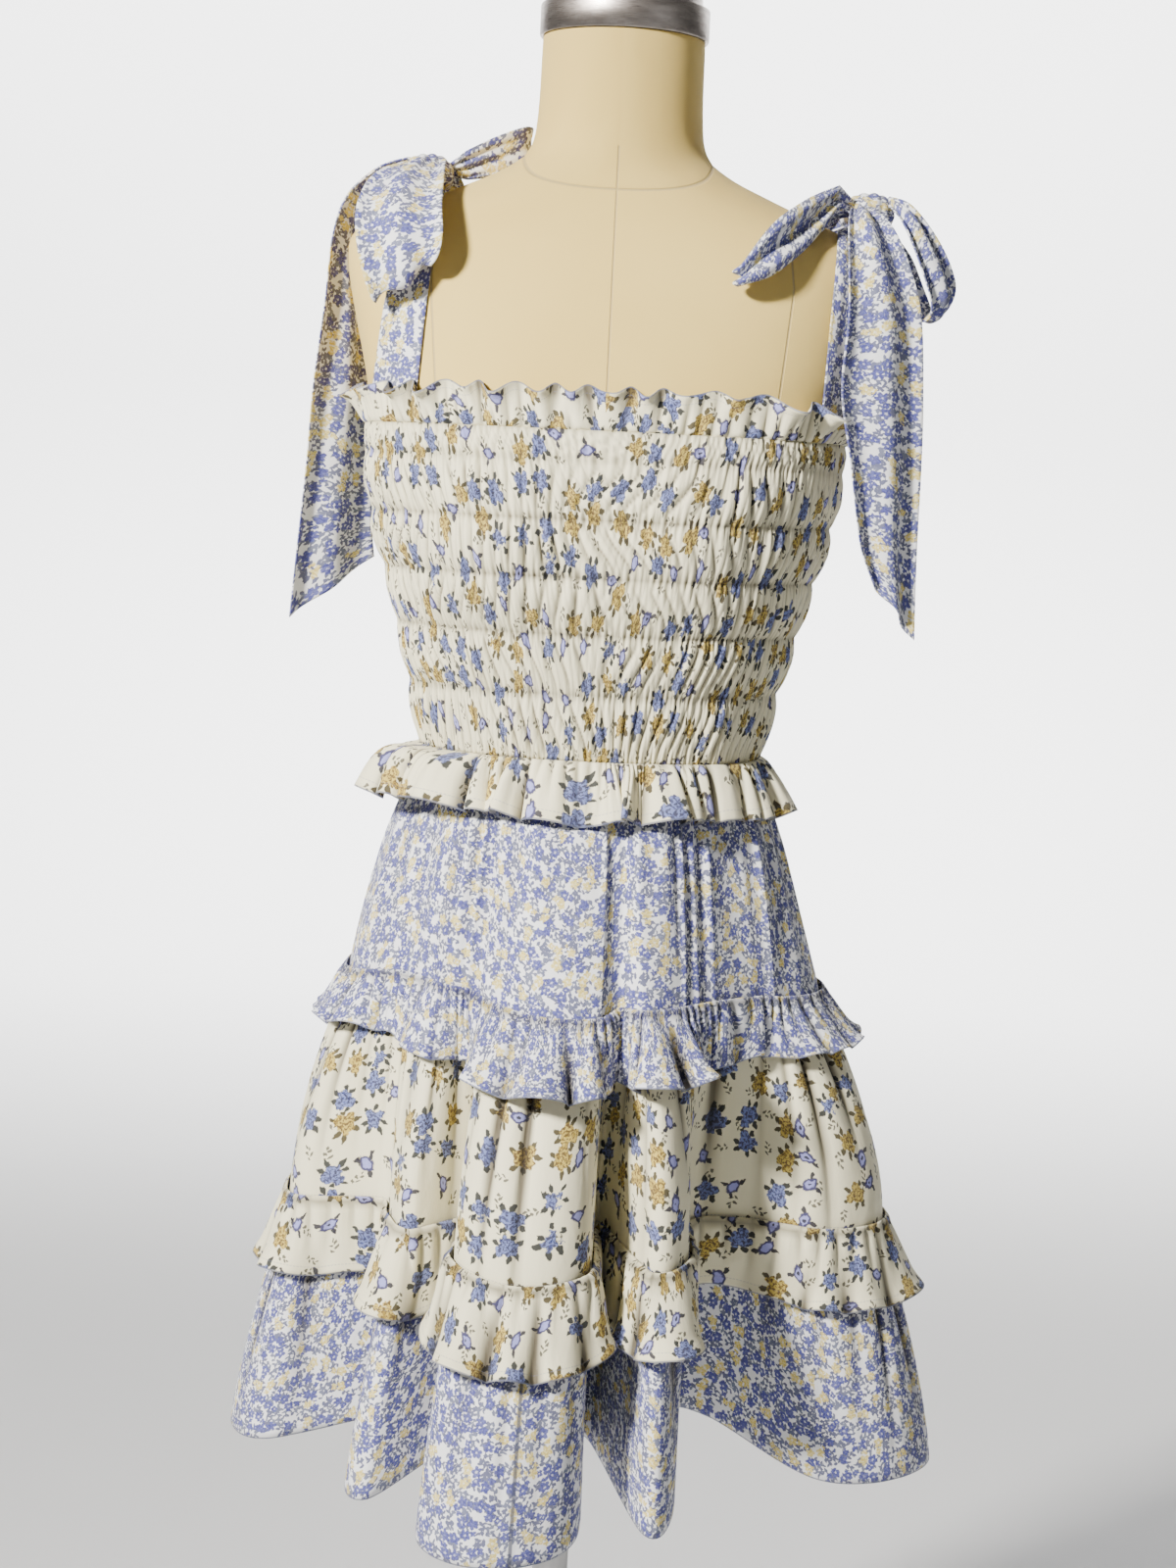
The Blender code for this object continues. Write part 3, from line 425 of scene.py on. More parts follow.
def buildWeave():
    # Plain weave: height of the threads and a little unevenness in their colour
    tree, given, out = newGroup(
        "plainWeave",
        [("UV", "vector", None), ("Threads per metre", "value", 2600.0)],
        [("Height", "value"), ("Slub", "value")],
    )
    parts = addNode(tree, "SeparateXYZ", scaled(tree, given["UV"], given["Threads per metre"])).outputs
    warp, weft = [calc(tree, "SINE", calc(tree, "MULTIPLY", part, 2 * math.pi)) for part in parts[:2]]
    height = calc(tree, "MULTIPLY_ADD", calc(tree, "MULTIPLY", warp, weft), 0.5, 0.5)
    slubs = [
        noise(tree, vectorCalc(tree, "MULTIPLY", given["UV"], stretch))[0]
        for stretch in ((260.0, 2100.0, 1.0), (2100.0, 260.0, 1.0))
    ]
    slub = calc(tree, "MULTIPLY", calc(tree, "ADD", *slubs), 0.5)
    tree.links.new(calc(tree, "MULTIPLY_ADD", slub, 1.2, height), out["Height"])
    tree.links.new(slub, out["Slub"])
    return tree


def buildCrumple():
    # Soft small dents of worn cotton, longer than they are wide
    tree, given, out = newGroup(
        "crumple", [("UV", "vector", None), ("Size", "value", 0.012)], [("Height", "value")]
    )
    stretched = vectorCalc(tree, "MULTIPLY", given["UV"], (1.0, 0.45, 1.0))
    dents = noise(tree, stretched, calc(tree, "DIVIDE", 1.0, given["Size"]), 3.0)
    tree.links.new(dents[0], out["Height"])
    return tree


def buildHemLine():
    # The thread over a cut edge, the stitches above it, and the panel seams with painted shade beside them. V
    # is 0 at the edge
    tree, given, out = newGroup(
        "hemLine",
        [
            ("UV", "vector", None), ("Edge", "value", 0.0009), ("Stitch height", "value", 0.006),
            ("Panel width", "value", 50.0), ("Panel start", "value", -20.0),
        ],
        [("Thread", "value"), ("Stitch", "value"), ("Seam", "value")],
    )
    parts = addNode(tree, "SeparateXYZ", given["UV"]).outputs
    within = calc(tree, "SUBTRACT", given["Edge"], parts[1])
    tree.links.new(fade(tree, within, -0.0002, 0.0002), out["Thread"])
    row = inside(tree, awayFrom(tree, parts[1], given["Stitch height"]), 0.0002, 0.0005)
    dashes = calc(tree, "FRACT", calc(tree, "MULTIPLY", parts[0], 400.0))
    tree.links.new(calc(tree, "MULTIPLY", row, calc(tree, "LESS_THAN", dashes, 0.72)), out["Stitch"])
    panels = calc(tree, "SUBTRACT", parts[0], given["Panel start"])
    panels = calc(tree, "DIVIDE", panels, given["Panel width"])
    off = calc(tree, "MULTIPLY", awayFrom(tree, panels, calc(tree, "ROUND", panels)), given["Panel width"])
    # Painted shade a few millimetres either side of each panel seam
    shade = calc(tree, "MULTIPLY", inside(tree, off, 0.0010, 0.0050), 0.30)
    tree.links.new(calc(tree, "MAXIMUM", inside(tree, off, 0.0008, 0.0018), shade), out["Seam"])
    return tree


groups = {
    "rosePrint": buildRosePrint(),
    "ditsyPrint": buildDitsyPrint(),
    "weave": buildWeave(),
    "crumple": buildCrumple(),
    "hemLine": buildHemLine(),
}


def newMaterial(name, plain):
    # plain holds what is the same all over the surface
    made = bpy.data.materials.new(name)
    made.use_nodes = True
    shader = made.node_tree.nodes["Principled BSDF"]
    for label, value in plain.items():
        shader.inputs[label].default_value = value
    return made, made.node_tree, shader


cottonLook = {
    "plain": {"Roughness": 0.86, "Sheen Weight": 0.12, "Sheen Roughness": 0.5},
    "weaveDepth": 0.00006,
    "crumpleDepth": 0.0009,
    "slubTone": (0.72, 0.71, 0.68),
    "threadColour": (0.150, 0.165, 0.250),
    # Colour of the panel seams and of the painted shade beside them
    "seamColour": (0.045, 0.050, 0.085),
    # Painted shade in creases: how strongly and to what tone the crease attribute darkens the cloth
    "creaseShadeShare": 0.95,
    "creaseShadeTone": (0.110, 0.094, 0.080),
}


def cottonMaterial(name, pattern, edge=0.0009, panels=(50.0, -20.0)):
    made, tree, shader = newMaterial(name, cottonLook["plain"])
    uv = uvOf(tree)
    printed = placeGroup(tree, groups[pattern], UV=uv)
    weave = placeGroup(tree, groups["weave"], UV=uv)
    crumple = placeGroup(tree, groups["crumple"], UV=uv)
    panelWidth, panelStart = panels
    hem = placeGroup(
        tree, groups["hemLine"], UV=uv, Edge=edge, **{"Panel width": panelWidth, "Panel start": panelStart}
    )
    slubShare = fade(tree, weave["Slub"], 0.35, 0.65, 0.0, 0.16)
    colour = blend(tree, slubShare, printed["Color"], cottonLook["slubTone"], "MULTIPLY")
    # Painted shade: the crease attribute darkens the colour in tight gathers and folds
    creaseShade = addNode(tree, "Attribute", attribute_name="creaseShade").outputs["Fac"]
    creaseShade = calc(tree, "MULTIPLY", creaseShade, cottonLook["creaseShadeShare"])
    colour = blend(tree, creaseShade, colour, cottonLook["creaseShadeTone"], "MULTIPLY")
    # The seam mark holds a dark seam line and painted shade beside it
    for mark, share, tone in (
        ("Thread", 0.75, "threadColour"), ("Stitch", 0.30, "threadColour"), ("Seam", 0.85, "seamColour"),
    ):
        colour = blend(tree, calc(tree, "MULTIPLY", hem[mark], share), colour, cottonLook[tone])
    tree.links.new(colour, shader.inputs["Base Color"])
    dents = bump(tree, crumple["Height"], 1.0, cottonLook["crumpleDepth"])
    tree.links.new(bump(tree, weave["Height"], 0.6, cottonLook["weaveDepth"], dents), shader.inputs["Normal"])
    return made


materials = {
    "rose": cottonMaterial("roseCotton", "rosePrint"),
    "ditsy": cottonMaterial("ditsyCotton", "ditsyPrint"),
    "rosePlainEdge": cottonMaterial("roseCottonSewnIn", "rosePrint", edge=0.0),
    "ditsyPlainEdge": cottonMaterial("ditsyCottonSewnIn", "ditsyPrint", edge=0.0),
}
print("cottons made")


# Curves and waves


def smooth(value):
    value = np.clip(value, 0, 1)
    return value * value * (3 - 2 * value)


def curveThrough(a, b, c, d, f):
    return b + 0.5 * f * (c - a + f * (2 * a - 5 * b + 4 * c - d + f * (3 * (b - c) + d - a)))


def drift(turns, seed, depth):
    # Uneven spacing for waves that close round the body
    total = 0.0
    for i, (count, share) in enumerate(((2, 1.0), (3, 0.8), (5, 0.6), (9, 0.35), (14, 0.2))):
        total = total + share * np.sin(2 * np.pi * count * turns + seed * (1.7 + i) + 2.1 * i)
    return depth * total


def uneven(turns, seed, low=0.5):
    # Sizes from low to 1 that change from one fold to the next
    total = 0.0
    for i, count in enumerate((4, 7, 11, 17, 23)):
        total = total + np.sin(2 * np.pi * count * turns + seed * (2.3 + i) + 1.3 * i)
    return low + (1 - low) * smooth(0.5 + total / 5)


def ridges(turns, count, seed, spread=0.45, sharp=0.8):
    # Round ridges with tight creases between them, 0 in the creases and 1 on the ridges
    phase = count * turns + drift(turns, seed, spread)
    return np.abs(np.sin(np.pi * phase)) ** sharp


# The form's skin


formRows = np.array([  # z, half width, front depth, back depth, squareness
    (0.690, 0.126, 0.084, 0.094, 2.1),
    (0.740, 0.139, 0.100, 0.108, 2.1),
    (0.797, 0.1435, 0.108, 0.116, 2.1),
    (0.860, 0.138, 0.104, 0.110, 2.1),
    (0.915, 0.1245, 0.094, 0.094, 2.1),
    (0.960, 0.1120, 0.088, 0.082, 2.1),
    (1.004, 0.1210, 0.096, 0.084, 2.1),
    (1.044, 0.1315, 0.107, 0.088, 2.1),
    (1.081, 0.1415, 0.117, 0.093, 2.15),
    (1.118, 0.1510, 0.119, 0.098, 2.2),
    (1.156, 0.1570, 0.114, 0.103, 2.4),
    (1.175, 0.1580, 0.109, 0.105, 2.5),
    (1.205, 0.1620, 0.101, 0.108, 2.6),
    (1.250, 0.1720, 0.087, 0.105, 2.6),
    (1.280, 0.1775, 0.076, 0.097, 2.6),
    (1.298, 0.1760, 0.068, 0.088, 2.5),
    (1.308, 0.1640, 0.064, 0.081, 2.35),
    (1.320, 0.1370, 0.061, 0.074, 2.3),
    (1.334, 0.1040, 0.058, 0.067, 2.2),
    (1.346, 0.0780, 0.0565, 0.061, 2.1),
    (1.358, 0.0620, 0.0560, 0.0575, 2.0),
    (1.375, 0.0560, 0.0550, 0.0550, 2.0),
    (1.435, 0.0540, 0.0540, 0.0540, 2.0),
])
bust = {"x": 0.070, "z": 1.105, "lift": 0.010, "spreadX": 0.036, "spreadZ": 0.045}


def formSection(z):
    levels = formRows[:, 0]
    z = np.clip(z, levels[0], levels[-1])
    i = np.clip(np.searchsorted(levels, z) - 1, 0, len(levels) - 2)
    before, after = np.maximum(i - 1, 0), np.minimum(i + 2, len(levels) - 1)
    span = (levels[i + 1] - levels[i])[..., None]
    f = (z - levels[i])[..., None] / span
    slopeLow = (formRows[i + 1] - formRows[before]) / (levels[i + 1] - levels[before])[..., None] * span
    slopeHigh = (formRows[after] - formRows[i]) / (levels[after] - levels[i])[..., None] * span
    value = (
        formRows[i] * (2 * f**3 - 3 * f**2 + 1)
        + slopeLow * (f**3 - 2 * f**2 + f)
        + formRows[i + 1] * (3 * f**2 - 2 * f**3)
        + slopeHigh * (f**3 - f**2)
    )
    return value[..., 1], value[..., 2], value[..., 3], value[..., 4]


def signedPower(value, power):
    return np.sign(value) * np.abs(value) ** power


def formSkin(angle, z):
    angle, z = np.broadcast_arrays(np.asarray(angle, float), np.asarray(z, float))
    halfWidth, front, back, squareness = formSection(z)
    depth = np.where(np.cos(angle) > 0, front, back)
    x = halfWidth * signedPower(np.sin(angle), 2 / squareness)
    y = -depth * signedPower(np.cos(angle), 2 / squareness)
    across = (np.abs(x) - bust["x"]) / bust["spreadX"]
    along = (z - bust["z"]) / bust["spreadZ"]
    y = y - np.where(y < 0, bust["lift"] * np.exp(-(across**2) - along**2) * np.cos(angle), 0)
    return np.stack([x, y, z], axis=-1)


def formPoint(angle, z, out=0.0):
    # A point that far outside the form, measured level
    point = formSkin(angle, z)
    along = formSkin(np.asarray(angle) + 0.01, z) - formSkin(np.asarray(angle) - 0.01, z)
    along = along / np.linalg.norm(along, axis=-1)[..., None]
    away = np.stack([along[..., 1], -along[..., 0], np.zeros_like(along[..., 0])], axis=-1)
    return point + np.broadcast_to(np.asarray(out, float), point.shape[:-1])[..., None] * away


def insideForm(point):
    halfWidth, front, back, squareness = formSection(point[..., 2])
    depth = np.where(point[..., 1] < 0, front, back)
    across, along = np.abs(point[..., 0]) / halfWidth, np.abs(point[..., 1]) / depth
    return across**squareness + along**squareness - 1


def offForm(point, out):
    slope = np.stack([
        insideForm(point + 0.0005 * axis) - insideForm(point - 0.0005 * axis) for axis in np.eye(3)
    ], axis=-1)
    return point + np.asarray(out)[..., None] * slope / np.linalg.norm(slope, axis=-1)[..., None]


def chestPoint(x, z, behind, out):
    halfWidth, front, back, squareness = formSection(z)
    rest = np.maximum(0, 1 - np.abs(x / halfWidth) ** squareness) ** (1 / squareness)
    return offForm(np.stack([x, back * rest if behind else -front * rest, z], axis=-1), out)


def shoulderPoint(x, turn, out):
    # Over the shoulder. turn is 0 in front, 90 on top and 180 behind
    x, turn = np.broadcast_arrays(np.asarray(x, float), np.radians(turn))
    start = np.stack([x, np.zeros_like(x), np.full_like(x, heights["shoulder"])], axis=-1)
    way = np.stack([np.zeros_like(x), -np.cos(turn), np.sin(turn)], axis=-1)
    near, far = np.zeros_like(x), np.full_like(x, 0.30)
    for _ in range(36):
        middle = (near + far) / 2
        within = insideForm(start + middle[..., None] * way) < 0
        near, far = np.where(within, middle, near), np.where(within, far, middle)
    return offForm(start + near[..., None] * way, out)


# Meshes


def gridObject(name, grid, uv, closed, material, thickness=0.0, creaseShade=None):
    # Rows go down, columns go round. uv has one more column than a closed grid
    rows, columns = grid.shape[:2]
    across = columns if closed else columns - 1
    row, column = np.meshgrid(np.arange(rows - 1), np.arange(across), indexing="ij")
    after = (column + 1) % columns
    corners = np.stack([
        row * columns + column, (row + 1) * columns + column,
        (row + 1) * columns + after, row * columns + after,
    ], axis=-1).reshape(-1, 4)
    mesh = bpy.data.meshes.new(name)
    mesh.vertices.add(rows * columns)
    mesh.vertices.foreach_set("co", grid.reshape(-1).astype(np.float32))
    mesh.loops.add(corners.size)
    mesh.loops.foreach_set("vertex_index", corners.reshape(-1).astype(np.int32))
    mesh.polygons.add(len(corners))
    mesh.polygons.foreach_set("loop_start", np.arange(0, corners.size, 4, dtype=np.int32))
    mesh.update(calc_edges=True)
    mesh.validate()
    wide = uv.shape[1]
    loopUv = np.stack([
        row * wide + column, (row + 1) * wide + column,
        (row + 1) * wide + column + 1, row * wide + column + 1,
    ], axis=-1).reshape(-1)
    layer = mesh.uv_layers.new(name="clothUV")
    layer.data.foreach_set("uv", uv.reshape(-1, 2)[loopUv].reshape(-1).astype(np.float32))
    mesh.shade_smooth()
    mesh.materials.append(material)
    # The crease attribute holds how much painted shade each point gets
    if creaseShade is not None:
        mark = mesh.attributes.new("creaseShade", "FLOAT", "POINT")
        mark.data.foreach_set("value", creaseShade.reshape(-1).astype(np.float32))
    item = bpy.data.objects.new(name, mesh)
    bpy.context.scene.collection.objects.link(item)
    if thickness:
        wall = item.modifiers.new("cloth", "SOLIDIFY")
        wall.thickness = thickness
        wall.offset = 0.0
        wall.use_rim = True
        wall.use_even_offset = False
    return item


def creaseOf(out, depth, reach, reachDown=0):
    # How deep a point lies under what is round it: 0 in the open, 1 in a tight crease. The cottons darken
    # their colour by it as painted shade
    level = sum(np.roll(out, i, axis=1) for i in range(-reach, reach + 1)) / (2 * reach + 1)
    if reachDown:
        padded = np.pad(level, ((reachDown, reachDown), (0, 0)), mode="edge")
        level = sum(padded[i : i + len(out)] for i in range(2 * reachDown + 1)) / (2 * reachDown + 1)
    return np.clip((level - out) / depth, 0, 1)


def clothUv(grid, fullness=1.0, shift=0.0, along=-1):
    # For a closed grid. u runs along one row, v goes up from the lower edge, both in metres
    line = np.concatenate([grid[along], grid[along][:1]])
    steps = np.linalg.norm(np.diff(line, axis=0), axis=1)
    u = np.concatenate([[0], np.cumsum(steps)]) * fullness + shift
    down = np.linalg.norm(np.diff(grid, axis=0), axis=2)
    v = np.concatenate([np.cumsum(down[::-1], axis=0)[::-1], np.zeros((1, grid.shape[1]))])
    v = np.concatenate([v, v[:, :1]], axis=1)
    return np.stack(np.broadcast_arrays(u[None, :], v), axis=-1)


def unit(vectors):
    return vectors / np.maximum(np.linalg.norm(vectors, axis=-1), 1e-9)[..., None]


def levelNormals(ring):
    along = np.roll(ring, -1, axis=-2) - np.roll(ring, 1, axis=-2)
    return unit(np.stack([along[..., 1], -along[..., 0], np.zeros(ring.shape[:-1])], axis=-1))


def sideways(ring):
    return unit(np.roll(ring, -1, axis=1) - np.roll(ring, 1, axis=1))


def printOf(slot):
    return "ditsy" if slot == "ditsy_cotton" else "rose"


def pieceName(node):
    first, *rest = node.split("_")
    return first + "".join(word.capitalize() for word in rest)


def dressPiece(piece, node):
    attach(piece, "root")
    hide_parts(node)


# The dress form and its stand


form = {
    "columns": 180,
    "rows": (70, 72, 10),  # below, through and above the neck's bend
    "neckBend": (1.29, 1.385),
    "uvRow": 60,  # the row that the weave's width follows
    "grooveWidth": 0.0014,
    "centreTop": 1.36,
    "princessTop": 1.298,
    "neckSeam": (1.3315, 0.0245, 0.028),  # height in front, rise at the sides, rise behind
    "seamDepth": 0.0005,
    "seamWidth": 0.0010,
    "linen": (0.800, 0.590, 0.180),
    "linenDark": (0.720, 0.510, 0.140),
    "seamColour": (0.330, 0.260, 0.170),
    "princessX": (0.0600, 0.0870, 0.1100, 0.1180, 0.1150),  # at the heights below
    "princessZ": (0.690, 0.960, 1.190, 1.270, 1.300),
}


def seamPlaces(points, z, angle):
    # How far each point lies from the centre seams, the princess seams and the neck seam
    centre = points[..., 0] + (z > form["centreTop"])
    princess = np.abs(points[..., 0]) - np.interp(z, form["princessZ"], form["princessX"])
    princess = princess + (z > form["princessTop"])
    front, atSides, behind = form["neckSeam"]
    neck = z - (front + atSides * np.sin(angle) ** 2 + behind * smooth(-np.cos(angle)))
    return np.stack([centre, princess, neck], axis=-1)


def linenMaterial():
    made, tree, shader = newMaterial("formLinen", {"Roughness": 0.88, "Sheen Weight": 0.10})
    uv = uvOf(tree)
    weave = placeGroup(tree, groups["weave"], UV=uv, **{"Threads per metre": 1250.0})
    stain = fade(tree, noise(tree, uv, 7.0, 3.0)[0], 0.30, 0.72, 0.0, 0.55)
    colour = blend(tree, stain, form["linen"], form["linenDark"])
    slub = fade(tree, weave["Slub"], 0.38, 0.62, 0.0, 0.22)
    colour = blend(tree, slub, colour, (0.80, 0.76, 0.68), "MULTIPLY")
    seamPlace = addNode(tree, "Attribute", attribute_name="seamPlace").outputs["Vector"]
    width = form["seamWidth"]
    seam = allOf(tree, [
        inside(tree, calc(tree, "ABSOLUTE", away), width * 0.3, width)
        for away in addNode(tree, "SeparateXYZ", seamPlace).outputs
    ])
    colour = blend(tree, calc(tree, "MULTIPLY", seam, 0.50), colour, form["seamColour"])
    tree.links.new(colour, shader.inputs["Base Color"])
    threads = bump(tree, weave["Height"], 0.8, 0.00016)
    tree.links.new(bump(tree, seam, 0.8, form["seamDepth"], threads, invert=True), shader.inputs["Normal"])
    return made


def buildForm():
    angle = 2 * np.pi * np.arange(form["columns"]) / form["columns"]
    levels = (heights["torsoBottom"], *form["neckBend"], heights["neckTop"])
    z = np.unique(np.concatenate([
        np.linspace(low, high, count) for low, high, count in zip(levels, levels[1:], form["rows"])
    ]))[::-1]
    zGrid, angleGrid = np.meshgrid(z, angle, indexing="ij")
    points = formSkin(angleGrid, zGrid)
    seam = seamPlaces(points, zGrid, angleGrid)
    dip = np.exp(-((seam[..., 2] / form["grooveWidth"]) ** 2))
    points = points - levelNormals(points) * (dip * form["seamDepth"])[..., None]
    middleTop = points[:1] * (0, 0, 1)
    middleBottom = points[-1:] * (0, 0, 1)
    grid = np.concatenate([middleTop, points, middleBottom])
    seam = np.concatenate([seam[:1] + 1, seam, seam[-1:] + 1])
    uv = clothUv(grid, along=form["uvRow"])
    piece = gridObject("dressForm", grid, uv, True, linenMaterial())
    mark = piece.data.attributes.new("seamPlace", "FLOAT_VECTOR", "POINT")
    mark.data.foreach_set("vector", seam.reshape(-1).astype(np.float32))
    piece.data.set_sharp_from_angle(angle=math.radians(50))
    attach(piece, "root")
    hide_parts("form_torso")


def turnedObject(name, profile, material, steps):
    # The profile has radius and height. Extra points near its bends make rounded corners
    profile = np.array(profile, float)
    angle = 2 * np.pi * np.arange(steps) / steps
    grid = np.stack([
        profile[:, None, 0] * np.sin(angle)[None, :],
        -profile[:, None, 0] * np.cos(angle)[None, :],
        np.repeat(profile[:, 1:2], steps, axis=1),
    ], axis=-1)
    length = np.concatenate([[0], np.cumsum(np.linalg.norm(np.diff(profile, axis=0), axis=1))])
    around = np.linspace(0, 2 * np.pi * profile[:, 0].max(), steps + 1)
    uv = np.stack(np.broadcast_arrays(around[None, :], -length[:, None]), axis=-1)
    piece = gridObject(name, grid, uv, True, material)
    piece.data.set_sharp_from_angle(angle=math.radians(35))
    return piece


cap = {
    "radius": 0.0565,
    "band": 0.021,
    "height": 0.042,
    "domeRadius": 0.051,
    "domeFoot": 0.010,  # above the band
    "colour": (0.500, 0.450, 0.410),
    "dark": (0.250, 0.215, 0.195),
}
stand = {
    "poleRadius": 0.0125,
    "baseRadius": 0.165,
    "baseEdge": 0.010,
    "paint": (0.50, 0.50, 0.50),
    "wear": (0.30, 0.30, 0.30),
}


def brushedMaterial():
    made, tree, shader = newMaterial("brushedCap", {"Metallic": 1.0, "Anisotropic": 0.5})
    uv = uvOf(tree)
    streaks = noise(tree, vectorCalc(tree, "MULTIPLY", uv, (18.0, 2600.0, 1.0)), detail=3.0)[0]
    clouds = noise(tree, vectorCalc(tree, "MULTIPLY", uv, (14.0, 60.0, 1.0)))[0]
    colour = blend(tree, fade(tree, clouds, 0.30, 0.70, 0.0, 0.5), cap["colour"], cap["dark"])
    colour = blend(tree, fade(tree, streaks, 0.35, 0.65, 0.0, 0.6), colour, cap["dark"])
    tree.links.new(colour, shader.inputs["Base Color"])
    tree.links.new(fade(tree, streaks, 0.3, 0.7, 0.24, 0.40), shader.inputs["Roughness"])
    tree.links.new(bump(tree, streaks, 0.35, 0.00006), shader.inputs["Normal"])
    return made


def paintedMaterial():
    made, tree, shader = newMaterial("standPaint", {"Metallic": 0.7})
    uv = uvOf(tree)
    clouds = noise(tree, uv, 16.0, 4.0)[0]
    colour = blend(tree, fade(tree, clouds, 0.45, 0.75, 0.0, 0.35), stand["paint"], stand["wear"])
    tree.links.new(colour, shader.inputs["Base Color"])
    tree.links.new(fade(tree, clouds, 0.35, 0.7, 0.34, 0.5), shader.inputs["Roughness"])
    tree.links.new(bump(tree, noise(tree, uv, 900.0)[0], 0.3, 0.0001), shader.inputs["Normal"])
    return made


def buildCapAndStand():
    bottom = heights["neckTop"] + 0.0003
    band, top, radius = bottom + cap["band"], bottom + cap["height"], cap["radius"]
    wide, foot = cap["domeRadius"], cap["domeFoot"]
    dome = [
        (wide * math.cos(a), band + foot + (top - band - foot) * math.sin(a))
        for a in np.linspace(math.pi / 2, 0.12, 14)
    ]
    capPiece = turnedObject("neckCap", [
        *dome, (0.0512, band + 0.006), (0.0514, band + 0.0008), (0.0520, band),
        (radius - 0.0014, band), (radius - 0.0004, band - 0.0004), (radius, band - 0.0014),
        (radius, bottom + 0.0012), (radius - 0.0008, bottom), (0.0, bottom),
    ], brushedMaterial(), 128)
    poleTop, poleBottom = heights["torsoBottom"] - 0.0003, heights["baseTop"] + 0.0003
    pole = stand["poleRadius"]
    paint = paintedMaterial()
    polePiece = turnedObject("standPole", [
        (0.0, poleTop), (0.0232, poleTop), (0.024, poleTop - 0.0008), (0.024, poleTop - 0.0112),
        (0.0232, poleTop - 0.012), (pole + 0.002, poleTop - 0.0135), (pole, poleTop - 0.0165),
        (pole, 0.30), (pole, poleBottom), (0.0, poleBottom),
    ], paint, 64)
    edge, wide = stand["baseEdge"], stand["baseRadius"]
    basePiece = turnedObject("standBase", [
        (0.0, heights["baseTop"]), (0.029, heights["baseTop"]), (0.0315, heights["baseTop"] - 0.0008),
        (0.036, heights["baseTop"] - 0.006), (0.042, heights["baseTop"] - 0.0078),
        (wide - 0.012, edge), (wide - 0.005, edge - 0.001), (wide - 0.0012, edge - 0.0034),
        (wide, edge - 0.0062), (wide, 0.001), (wide - 0.001, 0.0), (0.0, 0.0),
    ], paint, 128)
    for piece, node, slot in (
        (capPiece, "form_neck_cap", "cap_metal"),
        (polePiece, "stand_pole", "stand_metal"),
        (basePiece, "stand_base", "stand_metal"),
    ):
        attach(piece, "root")
        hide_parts(node)


# The smocked bodice


bodice = {
    "elastic": (0.960, 1.004, 1.044, 1.081, 1.118, 1.156, 1.175),
    "columns": 720,  # in each half
    "rows": 88,
    "foot": 0.0014,  # how far the creases stand off the form
    "edgeOut": 0.0010,
    "puff": 0.0024,
    "puffRidge": 0.0042,
    "smallRidge": 0.0012,
    "pleat": 0.0014,
    "folds": ((92, 0.75), (152, 0.80), (228, 0.70)),  # puffs, small folds, pleats: count and unevenness
    # Painted shade: how dark the small folds, the pleats and the stitched rows are painted
    "lines": (0.60, 0.45, 0.35),  # how dark the small folds, the pleats and the stitched rows are
    "creaseShade": (0.0030, 9, 5),  # depth of a full crease, then columns and rows looked at round it
    "fullness": 1.58,
    "fullnessUp": 0.98,
    "flat": (0.60, 0.235),
}


def bodiceOut(turns, z):
    # Puffs between the elastic rows and fine pleats on them, and the painted shade in their creases and along
    # the stitched rows
    rows = np.array(bodice["elastic"])
    i = np.clip(np.searchsorted(rows, z) - 1, 0, len(rows) - 2)
    share = np.clip((z - rows[i]) / (rows[i + 1] - rows[i]), 0, 1)
    span = rows[i + 1] - rows[i]
    swell = np.sin(np.pi * share) ** 0.65 * np.clip(span / 0.038, 0.3, 1.1)
    slide = smooth(share)
    phases = []
    for count, spread in bodice["folds"]:
        low = np.stack([drift(turns[0], 3.1 * row + count, spread) for row in range(len(rows))])
        low = low - low.min()
        columns = np.arange(turns.shape[1])[None, :]
        phases.append(count * turns + low[i, columns] * (1 - slide) + low[i + 1, columns] * slide)
    sizes = np.stack([uneven(turns[0], 1.9 * row + 0.7, 0.35) for row in range(len(rows))])
    size = sizes[i, np.arange(turns.shape[1])[None, :]]
    big, small, fine = (np.abs(np.sin(np.pi * phase)) for phase in phases)
    out = bodice["foot"] + bodice["puff"] * swell
    out = out + bodice["puffRidge"] * swell**1.2 * size * big**0.6
    out = out + bodice["smallRidge"] * (0.35 + 0.65 * (1 - swell)) * small**0.8
    out = out + bodice["pleat"] * (1 - 0.8 * np.clip(swell, 0, 1)) * fine
    # Painted shade: the creases are narrow dark lines, and the stitched rows lie in a shallow painted shade
    deep = smooth(1 - big / 0.50) * np.clip(swell * 1.4 - 0.2, 0, 1) * (0.45 + 0.55 * size)
    smallShade, pleatShade, rowShade = bodice["lines"]
    shallow = smallShade * smooth(1 - small / 0.48) * (0.5 + 0.5 * (1 - swell))
    tight = pleatShade * smooth(1 - fine / 0.5) * np.clip(1 - 1.2 * swell, 0, 1)
    row = rowShade * smooth(1 - swell / 0.45)
    return out, np.clip(np.maximum.reduce([deep, shallow, tight, row + 0 * deep]), 0, 1)


